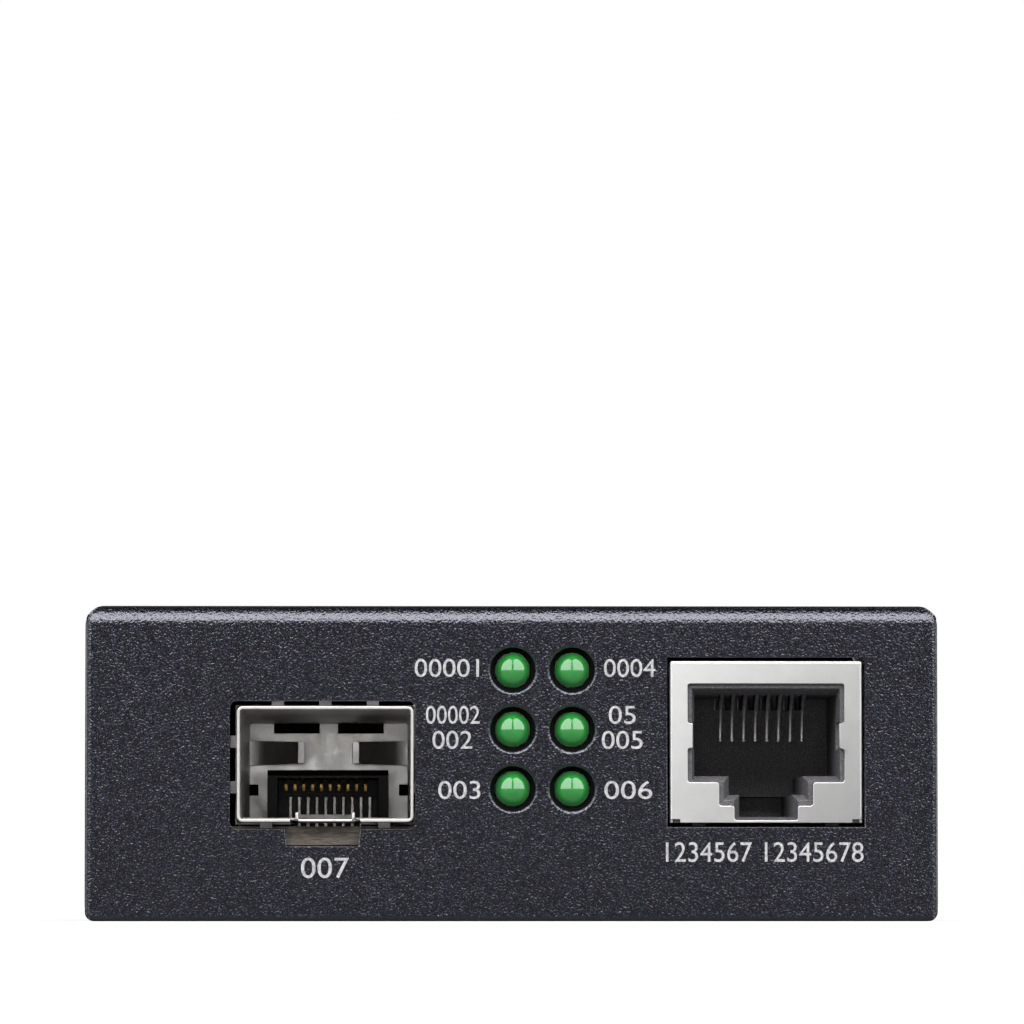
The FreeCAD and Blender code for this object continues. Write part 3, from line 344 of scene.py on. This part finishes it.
def mesh_of(work, name):
    """Closes an editable mesh and gives it as a plain one."""
    mesh = bpy.data.meshes.new(name)
    work.to_mesh(mesh)
    work.free()
    return mesh


def new_object(name, data):
    """Puts data into the scene as an object."""
    made = bpy.data.objects.new(name, data)
    bpy.context.scene.collection.objects.link(made)
    return made


def coated(mesh, material):
    """Gives a mesh one material."""
    mesh.materials.clear()
    mesh.materials.append(material)
    return mesh


def baked(piece):
    """Turns a piece with live modifiers into a plain mesh."""
    bpy.context.view_layer.update()
    shape = piece.evaluated_get(bpy.context.evaluated_depsgraph_get())
    mesh = bpy.data.meshes.new_from_object(shape)
    piece.modifiers.clear()
    piece.data = mesh
    return piece


def smoothed(piece):
    """Smooth shading that keeps real corners and leaves flat areas flat."""
    piece.data.shade_smooth()
    piece.data.set_sharp_from_angle(angle=CORNER)
    level = piece.modifiers.new("level", "WEIGHTED_NORMAL")
    level.keep_sharp = True
    level.weight = 90
    return baked(piece)


def carved(piece, cutter):
    """Cuts closed shapes, given as an editable mesh, out of a piece."""
    bmesh.ops.recalc_face_normals(cutter, faces=cutter.faces)
    tool = new_object("cutter", mesh_of(cutter, "cutter"))
    cut = piece.modifiers.new("cut", "BOOLEAN")
    cut.operation = "DIFFERENCE"
    cut.object = tool
    cut.solver = "EXACT"
    cut.use_self = True
    baked(piece)
    bpy.data.objects.remove(tool)
    return piece


def finished(piece, nodes, body=CASE):
    """Puts a piece on its body and in place of its CAD nodes."""
    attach(piece, body)
    if nodes:
        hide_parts(*nodes)
    return piece


def dressed(work, name, nodes, material, body=CASE):
    """A worked shape as a finished piece in place of its CAD nodes."""
    piece = new_object(name, coated(mesh_of(work, name), material))
    return finished(smoothed(piece), nodes, body)


def eased(node, name, material, radius_mm, rounds=2, body=CASE):
    """A node's own shape with all its sharp edges eased."""
    work = node_shape(node)
    rounded(work, radius_mm, rounds)
    return dressed(work, name, [node], material, body)


# --- Geometry Nodes tools ---
def new_tree(name, taken, sizes, given):
    """Tree that takes points or lines, sizes in metres and a finish; returns it with its ends."""
    tree = bpy.data.node_groups.new(name, "GeometryNodeTree")
    face = tree.interface
    face.new_socket(taken, in_out="INPUT", socket_type="NodeSocketGeometry")
    for label in sizes:
        face.new_socket(label, in_out="INPUT", socket_type="NodeSocketFloat")
    face.new_socket("Finish", in_out="INPUT", socket_type="NodeSocketMaterial")
    face.new_socket(given, in_out="OUTPUT", socket_type="NodeSocketGeometry")
    return tree, add(tree, "NodeGroupInput").outputs, add(tree, "NodeGroupOutput")


def closed_tree(tree, shape, entry, leaving):
    """Ends a tree: smooth faces, real ones in place of instances, and the finish on them."""
    smooth = add(tree, "GeometryNodeSetShadeSmooth", {"Geometry": shape})
    real = add(tree, "GeometryNodeRealizeInstances", {"Geometry": smooth.outputs[0]})
    done = add(tree, "GeometryNodeSetMaterial",
               {"Geometry": real.outputs[0], "Material": entry["Finish"]})
    plug(tree, leaving, {0: done.outputs[0]})
    return tree


def grown(name, work, tree, **values):
    """Runs a tree on points or lines with its named inputs, and keeps the result as a mesh."""
    piece = new_object(name, mesh_of(work, name))
    maker = piece.modifiers.new(tree.name, "NODES")
    maker.node_group = tree
    for socket in tree.interface.items_tree:
        if socket.name in values:
            maker[socket.identifier] = values[socket.name]
    return baked(piece)


# --- case ---
def cover_shell():
    """Folded cover: eased outline, rims of the lamp holes, openings and vents."""
    work = node_shape("top_cover")
    low, high = box_mm("top_cover")
    holes = [middle_mm(node) for node in LAMP_NODES]
    hole_reach = 2.2                    # from a lamp hole's middle to just beyond its rim
    side_band, foot_band = 1.2, 1.0     # the front's outline lies in these bands
    fold_band = 2.0                     # the folds' rounding ends this far below the top
    corner = Vector((1.9, 0.85, 1.8))   # box at each upper front corner, round its mitre
    straight = 0.97                     # an edge with this share along one axis isn't mitred

    def on_front(middle):
        return middle.y < low.y + NEAR

    def outline(middle, along):
        beside = abs(middle.x) > high.x - side_band
        return on_front(middle) and (beside or middle.z < foot_band)

    def mitre(middle, along):
        return (abs(middle.x) > high.x - corner.x and middle.y < low.y + corner.y
                and middle.z > high.z - corner.z and max(abs(c) for c in along) < straight)

    def lamp_rim(middle, along):
        return on_front(middle) and any(
            math.hypot(middle.x - hole.x, middle.z - hole.z) < hole_reach for hole in holes)

    def opening(middle, along):
        return on_front(middle) and not outline(middle, along) and not lamp_rim(middle, along)

    def outer_rim(middle, along):
        on_side = (abs(middle.x) > high.x - NEAR and middle.z < high.z - fold_band
                   and middle.y > low.y + side_band)
        return on_side or middle.y > high.y - NEAR

    rounded(work, 0.3, 5, lamp_rim)
    rounded(work, 0.06, 2, opening)
    rounded(work, 0.08, 2, outer_rim)
    rounded(work, 0.45, 5, lambda middle, along: outline(middle, along) or mitre(middle, along))
    return dressed(work, "cover_shell", ["top_cover"], POWDER)


def tray_shell():
    """Folded tray; its rear panel's edge sits close under the cover's fold."""
    high = box_mm("base_tray")[1]
    work = node_shape("base_tray")
    panel = 0.85    # just over the rear panel's thickness
    bend = 0.75     # radius of its upper corners
    rim = 0.1       # corners this close to its edge are its outline
    closer = 0.1    # how far the outline moves out, towards the cover
    for vertex in work.verts:
        x, y, z = vertex.co / MM
        out = Vector((max(abs(x) - high.x + bend, 0), max(z - high.z + bend, 0)))
        if y > high.y - panel and out.length > bend - rim:
            out *= closer / out.length
            vertex.co += Vector((math.copysign(out.x, x), 0, out.y)) * MM
    rounded(work, 0.06, 2)
    return dressed(work, "tray_shell", ["base_tray"], POWDER)


def side_screws():
    """Countersunk screws with a cross recess."""
    low, high = box_mm("case_screws")
    middle = (low + high) / 2
    work = node_shape("case_screws")
    rounded(work, 0.07, 2)
    heads = new_object("side_screws", coated(mesh_of(work, "side_screws"), BLACK_ZINC))

    # the recess narrows from its mouth, which is drawn a little outside the head, to its floor
    depth, outside = 0.95, 0.25
    arm_floor, arm_mouth = 1.0, 2.2
    web_floor, web_mouth = 0.34, 0.48
    cutter = bmesh.new()
    for side in (-1, 1):
        for turn in (math.pi / 4, 3 * math.pi / 4):
            for vertex in bmesh.ops.create_cube(cutter, size=1.0)["verts"]:
                rise = vertex.co.x + 0.5
                across = vertex.co.y * (arm_floor + (arm_mouth - arm_floor) * rise)
                thick = vertex.co.z * (web_floor + (web_mouth - web_floor) * rise)
                x = side * (high.x - depth + (depth + outside) * rise)
                y = across * math.cos(turn) - thick * math.sin(turn)
                z = across * math.sin(turn) + thick * math.cos(turn)
                vertex.co = Vector((x, middle.y + y, middle.z + z)) * MM
    return finished(smoothed(carved(heads, cutter)), ["case_screws"])


cover_shell()
tray_shell()
side_screws()


# --- module cage ---
def module_cage():
    """Folded cage: rounded long folds, eased lip, lanced back and eject springs."""
    low, high = box_mm("sfp_cage_shell")
    floor_z = box_mm("sfp_cage_floor")[0].z
    work = node_shape("sfp_cage_shell")
    sheet = 0.25
    on_fold = 0.02      # an edge this close to a fold's line is the fold

    def fold_at(inset):
        def fold(middle, along):
            beside = min(abs(middle.x - low.x - inset), abs(high.x - inset - middle.x)) < on_fold
            level = min(abs(middle.z - floor_z - inset), abs(high.z - inset - middle.z)) < on_fold
            return abs(along.y) > LENGTHWISE and beside and level
        return fold

    rounded(work, 0.5, 6, fold_at(0))
    rounded(work, 0.25, 4, fold_at(sheet))
    rounded(work, 0.06, 3, lambda middle, along: middle.y < low.y + NEAR)
    rounded(work, 0.03, 1)
    return dressed(work, "module_cage", ["sfp_cage_shell"], TINNED)


def module_cage_floor():
    """Floor plate and latch tongue with its rounded turned-up ends."""
    low, high = box_mm("sfp_cage_floor")
    middle_x = (low.x + high.x) / 2
    work = node_shape("sfp_cage_floor")
    sheet = 0.25
    lips = 1.6          # the turned-up ends stand within this of the front
    upright = 0.9       # an edge with this share along Z isn't part of their fold
    half = max(abs(vertex.co.x / MM - middle_x) for vertex in work.verts
               if vertex.co.y / MM < low.y + NEAR)

    def lip_fold(middle, along):
        return (abs(abs(middle.x - middle_x) - half) < NEAR and middle.y < low.y + lips
                and abs(along.z) < upright and middle.z < low.z + sheet)

    def front_rim(middle, along):
        return middle.y < low.y + NEAR

    rounded(work, 0.42, 6, lip_fold)
    rounded(work, 0.1, 4, front_rim)
    rounded(work, 0.05, 2)
    return dressed(work, "module_cage_floor", ["sfp_cage_floor"], TINNED)


def ground_fingers():
    """Collar of sprung fingers; between them its front edge is cut back behind the panel."""
    low = box_mm("sfp_ground_springs")[0]
    cage_low, cage_high = box_mm("sfp_cage_shell")
    cage_low.z = box_mm("sfp_cage_floor")[0].z
    work = node_shape("sfp_ground_springs")
    front = [vertex.co / MM for vertex in work.verts if vertex.co.y / MM < low.y + NEAR]
    stands_out = 0.25                   # fingers stand further off the cage than this
    beyond = 0.4                        # how far the cuts run past the cage's corners
    cut_behind, cut_length = 0.6, 1.4   # a cut's middle behind the front edge, and its length
    cut_above, cut_height = 0.1, 0.24   # its middle over the cage's wall, and its height
    cutter = bmesh.new()
    for across, rising in ((0, 2), (2, 0)):
        for side in (-1, 1):
            wall = (cage_high if side > 0 else cage_low)[rising]
            fingers_at = sorted({round(corner[across], 2) for corner in front
                                 if (corner[rising] - wall) * side > stands_out})
            ends = [cage_low[across] - beyond, *fingers_at, cage_high[across] + beyond]
            for start, end in zip(ends[::2], ends[1::2]):
                for vertex in bmesh.ops.create_cube(cutter, size=1.0)["verts"]:
                    place = [0.0, low.y + cut_behind + vertex.co.y * cut_length, 0.0]
                    place[across] = (start + end) / 2 + vertex.co.x * (end - start)
                    place[rising] = wall + side * cut_above + vertex.co.z * cut_height
                    vertex.co = Vector(place) * MM
    collar = new_object("ground_fingers", coated(mesh_of(work, "ground_fingers"), SPRING))
    return finished(smoothed(carved(collar, cutter)), ["sfp_ground_springs"])


def card_contacts():
    """Upper contacts: the lead-in stands up steeply, so its face shows in the connector's slot."""
    low, high = box_mm("sfp_contacts_upper")
    work = node_shape("sfp_contacts_upper")
    thick = 0.2
    length, height = 1.2, 1.6       # the slanting lead-in lies within these of its tip
    lean = 0.06                     # how far its foot stays behind its tip
    lead_in = [vertex for vertex in work.verts
               if vertex.co.y / MM < low.y + length and vertex.co.z / MM > high.z - height]
    foot = min(vertex.co.z for vertex in lead_in) / MM
    for vertex in lead_in:
        y, z = vertex.co.y / MM, vertex.co.z / MM
        at_foot, rear_of_foot, top_of_tip = y > low.y + 0.5, z > foot + 0.1, z > foot + 0.7
        if at_foot:
            vertex.co.y = (low.y + lean + (thick if rear_of_foot else 0)) * MM
        elif top_of_tip:
            vertex.co.y = (low.y + thick) * MM
    rounded(work, 0.05, 2)
    return dressed(work, "card_contacts_upper", ["sfp_contacts_upper"], GOLD)


cage = module_cage()
cage_floor = module_cage_floor()
ground_fingers()
connector = eased("sfp_connector_housing", "card_connector", BLACK, 0.05)
upper_contacts = card_contacts()
lower_contacts = eased("sfp_contacts_lower", "card_contacts_lower", TAIL, 0.05)


# --- network port ---
def port_shield():
    """Drawn shield: rounded folds, rounded corners of the mouth and eased rims."""
    low, high = box_mm("network_port_shield")
    middle_x = (low.x + high.x) / 2
    half = (high.x - low.x) / 2
    work = node_shape("network_port_shield")
    face = 0.3      # just over the front face's thickness
    margin = 1.0    # the mouth's corners lie further in than this

    def mouth_corner(middle, along):
        return (abs(along.y) > LENGTHWISE and middle.y < low.y + face
                and abs(middle.x - middle_x) < half - margin and middle.z < high.z - margin)

    def outer_fold(middle, along):
        beside = abs(middle.x - middle_x) > half - NEAR
        above = middle.z > high.z - NEAR
        in_front = middle.y < low.y + NEAR
        return (beside and above) or (in_front and (beside or above))

    rounded(work, 0.24, 4, mouth_corner)
    rounded(work, 0.2, 4, outer_fold)
    rounded(work, 0.05, 2)
    return dressed(work, "port_shield", ["network_port_shield"], NICKEL)


def wire_tree():
    """Round wires along lines, with rounded bends and a ball at each free end above a height."""
    tree, entry, leaving = new_tree("port_wires", "Lines", ("Radius", "Bend", "Tip", "Tips Above"),
                                    "Wires")
    lines = add(tree, "GeometryNodeMeshToCurve", {"Mesh": entry["Lines"]}).outputs["Curve"]
    bent = add(tree, "GeometryNodeFilletCurve",
               {"Curve": lines, "Count": 5, "Radius": entry["Bend"], "Limit Radius": True},
               mode="POLY").outputs["Curve"]
    ring = add(tree, "GeometryNodeCurvePrimitiveCircle",
               {"Resolution": 14, "Radius": entry["Radius"]})
    drawn = add(tree, "GeometryNodeCurveToMesh",
                {"Curve": bent, "Profile Curve": ring.outputs["Curve"], "Fill Caps": True})
    height = parts_of(tree, add(tree, "GeometryNodeInputPosition").outputs[0])["Z"]
    ends = add(tree, "GeometryNodeCurveEndpointSelection", {"Start Size": 1, "End Size": 1})
    upper_end = reckoned(tree, "MULTIPLY", ends.outputs[0],
                         reckoned(tree, "GREATER_THAN", height, entry["Tips Above"]))
    ball = add(tree, "GeometryNodeMeshUVSphere",
               {"Segments": 16, "Rings": 10, "Radius": entry["Tip"]})
    balls = add(tree, "GeometryNodeInstanceOnPoints",
                {"Points": lines, "Selection": upper_end, "Instance": ball.outputs["Mesh"]})
    both = add(tree, "GeometryNodeJoinGeometry")
    for part in (balls, drawn):
        plug(tree, both, {0: part.outputs[0]})
    return closed_tree(tree, both.outputs[0], entry, leaving)


def port_wires():
    """Eight sprung wires: pin, run along the roof, fold at the mouth and a bow down to the tip."""
    low, high = box_mm("network_port_contacts")
    half = 0.16         # half a wire's thickness
    slack = 0.02        # corners this far beyond it are still the wire's own
    drop = 0.55         # from the fold down to where the bow begins
    bow_steps = 12
    work = node_shape("network_port_contacts")
    corners = [vertex.co / MM for vertex in work.verts]
    work.free()
    flanks = sorted({round(corner.x, 2) for corner in corners})
    lines = bmesh.new()
    for x in [(left + right) / 2 for left, right in zip(flanks[::2], flanks[1::2])]:
        own = [corner for corner in corners if abs(corner.x - x) < half + slack]
        pin_sides = [corner.y for corner in own if corner.z < low.z + NEAR]
        pin = sum(pin_sides) / len(pin_sides)
        tip = min((corner for corner in own if corner.z > low.z + NEAR),
                  key=lambda corner: corner.z)
        top, fold = high.z - half, low.y + half
        end_y, end_z = tip.y - half, tip.z + half
        route = [(pin, low.z), (pin, top), (fold, top)]
        for i in range(bow_steps + 1):
            turn = i / bow_steps * math.pi / 2
            route.append((fold + (end_y - fold) * math.sin(turn),
                          end_z + (top - drop - end_z) * math.cos(turn)))
        made = [lines.verts.new(Vector((x, y, z)) * MM) for y, z in route]
        for start, end in zip(made, made[1:]):
            lines.edges.new((start, end))
    wires = grown("port_contacts", lines, wire_tree(), **{
        "Radius": half * MM, "Bend": 0.35 * MM, "Tip": 0.2 * MM, "Tips Above": 12 * MM,
        "Finish": WIRE})
    return finished(wires, ["network_port_contacts"])


port_shield()
housing = eased("network_port_housing", "port_housing", PORT, 0.06)
port_contacts = port_wires()


# --- status lamps ---
def lamp_tree():
    """Lamps on given places: a turned barrel with a flange, running into a half-round dome."""
    tree, entry, leaving = new_tree("lamp_rows", "Places", ("Radius", "Barrel", "Dome", "Flange"),
                                    "Lamps")
    tube = add(tree, "GeometryNodeMeshCylinder",
               {"Vertices": 72, "Side Segments": 48, "Radius": 1.0, "Depth": 2.0},
               fill_type="NGON")
    x, y, z = parts_of(tree, add(tree, "GeometryNodeInputPosition").outputs[0])

    # z from -1 to 0 is the barrel, with a flange at its end, and from 0 to 1 the dome, by angle;
    # the dome's angle stops just short of upright, so its top cap keeps an area
    upright = math.pi / 2 * 0.999
    flange_end = -0.86
    turn = reckoned(tree, "MULTIPLY", reckoned(tree, "MAXIMUM", z, 0.0), upright)
    flange = reckoned(tree, "LESS_THAN", z, flange_end)
    widened = reckoned(tree, "MULTIPLY_ADD", flange, entry["Flange"],
                       reckoned(tree, "COSINE", turn))
    wide = reckoned(tree, "MULTIPLY", widened, entry["Radius"])
    low = reckoned(tree, "MULTIPLY", reckoned(tree, "MINIMUM", z, 0.0), entry["Barrel"])
    high = reckoned(tree, "MULTIPLY", reckoned(tree, "SINE", turn), entry["Dome"])
    shaped = add(tree, "ShaderNodeCombineXYZ", {"X": reckoned(tree, "MULTIPLY", x, wide),
                                                "Y": reckoned(tree, "MULTIPLY", y, wide),
                                                "Z": reckoned(tree, "ADD", low, high)})
    turned = add(tree, "GeometryNodeSetPosition",
                 {"Geometry": tube.outputs["Mesh"], "Position": shaped.outputs[0]})
    placed = add(tree, "GeometryNodeInstanceOnPoints",
                 {"Points": entry["Places"], "Instance": turned.outputs[0],
                  "Rotation": (math.pi / 2, 0, 0)})
    return closed_tree(tree, placed.outputs[0], entry, leaving)


def status_lamps():
    """All lamps as one piece, each at its CAD node's place."""
    low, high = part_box(LAMP_NODES[0])
    radius = (high.x - low.x) / 2
    dome_base = low.y + radius
    places = bmesh.new()
    for node in LAMP_NODES:
        box_low, box_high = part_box(node)
        middle = (box_low + box_high) / 2
        places.verts.new((middle.x, dome_base, middle.z))
    domes = grown("status_lamps", places, lamp_tree(), Radius=radius, Dome=radius,
                  Barrel=high.y - dome_base, Flange=0.17, Finish=LENS)
    return finished(domes, LAMP_NODES)


lamps = status_lamps()


# --- printed marks ---
def printed(text, x, z, width_mm, height_mm):
    """Plain figures as thin ink on the front panel, centred on (x, z)."""
    half_ink = 0.006    # half the ink's thickness
    ink_out = 0.004     # how far its middle stands off the coat
    curve = bpy.data.curves.new(f"mark_{text}", "FONT")
    curve.body = text
    curve.size = height_mm
    curve.extrude = half_ink
    stand_in = new_object("mark", curve)
    bpy.context.view_layer.update()
    mesh = bpy.data.meshes.new_from_object(
        stand_in.evaluated_get(bpy.context.evaluated_depsgraph_get()))
    bpy.data.objects.remove(stand_in)
    lows = [min(vertex.co[i] for vertex in mesh.vertices) for i in (0, 1)]
    highs = [max(vertex.co[i] for vertex in mesh.vertices) for i in (0, 1)]
    panel = box_mm("top_cover")[0].y
    for vertex in mesh.vertices:
        across = ((vertex.co.x - lows[0]) / (highs[0] - lows[0]) - 0.5) * width_mm
        up = ((vertex.co.y - lows[1]) / (highs[1] - lows[1]) - 0.5) * height_mm
        vertex.co = Vector((x + across, panel - ink_out - vertex.co.z, z + up)) * MM
    return mesh


def front_marks():
    """Plain figures beside the lamps and under both openings, as one piece."""
    left, right = middle_mm("lamp_1").x, middle_mm("lamp_4").x
    top, centre, bottom = (middle_mm(node).z for node in LAMP_NODES[:3])
    cage_x = middle_mm("sfp_cage_shell").x
    port_x = middle_mm("network_port_shield").x
    tall = 1.55         # figures beside the lamps
    # figures, middle in X and Z, width and height
    marks = (
        ("00001", left - 5.65, top + 0.15, 5.5, tall),
        ("00002", left - 5.14, centre + 1.22, 4.6, tall),
        ("002", left - 5.18, centre - 0.92, 3.4, tall),
        ("003", left - 4.58, bottom - 0.12, 3.6, tall),
        ("0004", right + 4.92, top + 0.15, 4.4, tall),
        ("05", right + 4.27, centre + 1.22, 2.3, tall),
        ("005", right + 4.27, centre - 0.92, 3.5, tall),
        ("006", right + 4.79, bottom - 0.12, 4.1, tall),
        ("007", cage_x, 4.55, 4.1, 1.75),
        ("1234567 12345678", port_x - 0.13, 5.9, 16.9, 1.7),
    )
    work = bmesh.new()
    for mark in marks:
        work.from_mesh(printed(*mark))
    bmesh.ops.remove_doubles(work, verts=work.verts, dist=0.0005 * MM)
    bmesh.ops.recalc_face_normals(work, faces=work.faces)
    ink = new_object("printed_marks", coated(mesh_of(work, "printed_marks"), INK))
    return finished(ink, [])


front_marks()

# --- supply jack and mode switch ---
eased("power_jack_housing", "supply_jack", BLACK, 0.15)
eased("power_jack_pin", "supply_jack_pin", PIN, 0.08)
eased("power_jack_spring", "supply_jack_spring", SPRING, 0.04, 1)
eased("switch_frame", "switch_can", NICKEL, 0.05)
eased("mode_slider", "switch_slider_handle", SWITCH, 0.12,
      body="switch_slider")

# --- CAD nodes that keep their own shape ---
KEPT = {
    "circuit_board": LAMINATE,
    "board_supports": NYLON,
    "lamp_holder": HOLDER,
    "lamp_leads": TAIL,
    "switch_base": PHENOLIC,
    "switch_terminals": TAIL,
    "converter_chip": CHIP,
    "lan_transformer": CHIP,
    "crystal": NICKEL,
    "power_inductor": FERRITE,
    "regulator": CHIP,
}
for node, material in KEPT.items():
    coated(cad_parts[node].data, material)


# --- studio ---
# name, turn from straight ahead, half its width, lowest and highest edge, all in degrees, radiance
CASE_WINDOWS = (
    ("window", 27, 23, 29, 73, 7.2),
    ("low_window", 44, 13, 6, 28, 2.3),
    ("side_window", 70, 13, 6, 62, 3.0),
)
LAMP_WINDOWS = (
    ("lens_window", 47, 41, 0, 72, 2.9),
)


def softbox(name, target, azimuth, elevation, distance, width, height, radiance):
    """Rectangular soft light, aimed at target. Azimuth 0 is straight in front of the case."""
    turn, lift = math.radians(azimuth), math.radians(elevation)
    towards = Vector((math.sin(turn) * math.cos(lift), -math.cos(turn) * math.cos(lift),
                      math.sin(lift)))
    light = bpy.data.lights.new(name, "AREA")
    light.shape = "RECTANGLE"
    light.size = width
    light.size_y = height
    light.energy = radiance * math.pi * width * height
    box = new_object(name, light)
    box.location = target + towards * distance
    box.rotation_euler = towards.to_track_quat("Z", "Y").to_euler()
    return box


def window(name, target, azimuth, half_angle, lowest, highest, radiance):
    """Upright soft light 1 m away over the floor, between two elevations."""
    low, high = (math.tan(math.radians(angle)) for angle in (lowest, highest))
    width = 2 * math.tan(math.radians(half_angle))
    middle = target + Vector((0, 0, (low + high) / 2))
    return softbox(name, middle, azimuth, 0, 1.0, width, high - low, radiance)


def reaching(lights, name, pieces, skipped=False):
    """Lets lights reach only these pieces or, where skipped, everything but them."""
    group = bpy.data.collections.new(name)
    for piece in pieces:
        group.objects.link(piece)
    if skipped:
        for entry in group.collection_objects:
            entry.light_linking.link_state = "EXCLUDE"
    for light in lights:
        light.light_linking.receiver_collection = group


def studio_floor():
    """Wide pale floor just under the case."""
    work = bmesh.new()
    bmesh.ops.create_grid(work, x_segments=1, y_segments=1, size=6.0)
    floor = new_object("studio_floor", coated(mesh_of(work, "floor"), floor_finish()))
    floor.location.z = -0.02 * MM


def studio_lights():
    """Windows on both sides, a weak light into the openings and two lights behind."""
    target = Vector((0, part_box("top_cover")[0].y, 13.5 * MM))
    case_lights = []
    lamp_lights = []
    for side, side_name in ((-1, "left"), (1, "right")):
        for windows, lights in ((CASE_WINDOWS, case_lights), (LAMP_WINDOWS, lamp_lights)):
            for name, azimuth, *sizes in windows:
                lights.append(window(f"{name}_{side_name}", target, side * azimuth, *sizes))
    inside = softbox("openings_fill", target, azimuth=0, elevation=1.8, distance=1.0,
                     width=0.28, height=0.11, radiance=4.3)
    reaching(case_lights, "all_but_lamps", [lamps], skipped=True)
    reaching(lamp_lights, "lamps_only", [lamps])
    reaching([inside], "openings", [cage, cage_floor, connector, upper_contacts, lower_contacts,
                                    housing, port_contacts])
    for side_name, azimuth in (("left", -132), ("right", 132)):
        softbox(f"rear_{side_name}", target, azimuth, elevation=38, distance=1.1,
                width=0.55, height=0.6, radiance=3.4)


def studio_world():
    """White to the eye; as light, a dim room that is brighter low down behind the case."""
    world = bpy.data.worlds.new("studio")
    bpy.context.scene.world = world
    world.use_nodes = True
    tree = world.node_tree
    direction = parts_of(tree, add(tree, "ShaderNodeTexCoord").outputs["Generated"])
    room = span(tree, direction["Z"], 0.06, 0.02, 0.1, 0.9)
    low = span(tree, direction["Z"], 1.0, 0.0, 0.1, 0.35)
    rear = span(tree, direction["Y"], 0.0, 0.9, 0.0, 0.4)
    lit = reckoned(tree, "MULTIPLY_ADD", low, rear, room)
    strength = add(tree, "ShaderNodeMix",
                   {"Factor": add(tree, "ShaderNodeLightPath").outputs["Is Camera Ray"],
                    "A": lit, "B": 1.0}, data_type="FLOAT")
    plug(tree, tree.nodes["Background"], {"Color": grey(1.0), "Strength": strength.outputs[0]})


def studio_camera():
    """Level with the desk and a little left of the middle, looking slightly up past the case."""
    upward, to_the_right = 3.18, 1.127      # degrees
    made = bpy.data.cameras.new("camera")
    made.sensor_width = 36
    made.lens = 246.7
    made.clip_start = 0.01
    made.clip_end = 20
    view = new_object("camera", made)
    view.location = (-0.0118, -0.647, 0.00165)
    view.rotation_euler = (math.radians(90 + upward), 0, math.radians(-to_the_right))
    bpy.context.scene.camera = view


studio_floor()
studio_lights()
studio_world()
studio_camera()
bpy.context.scene.view_settings.view_transform = "Standard"
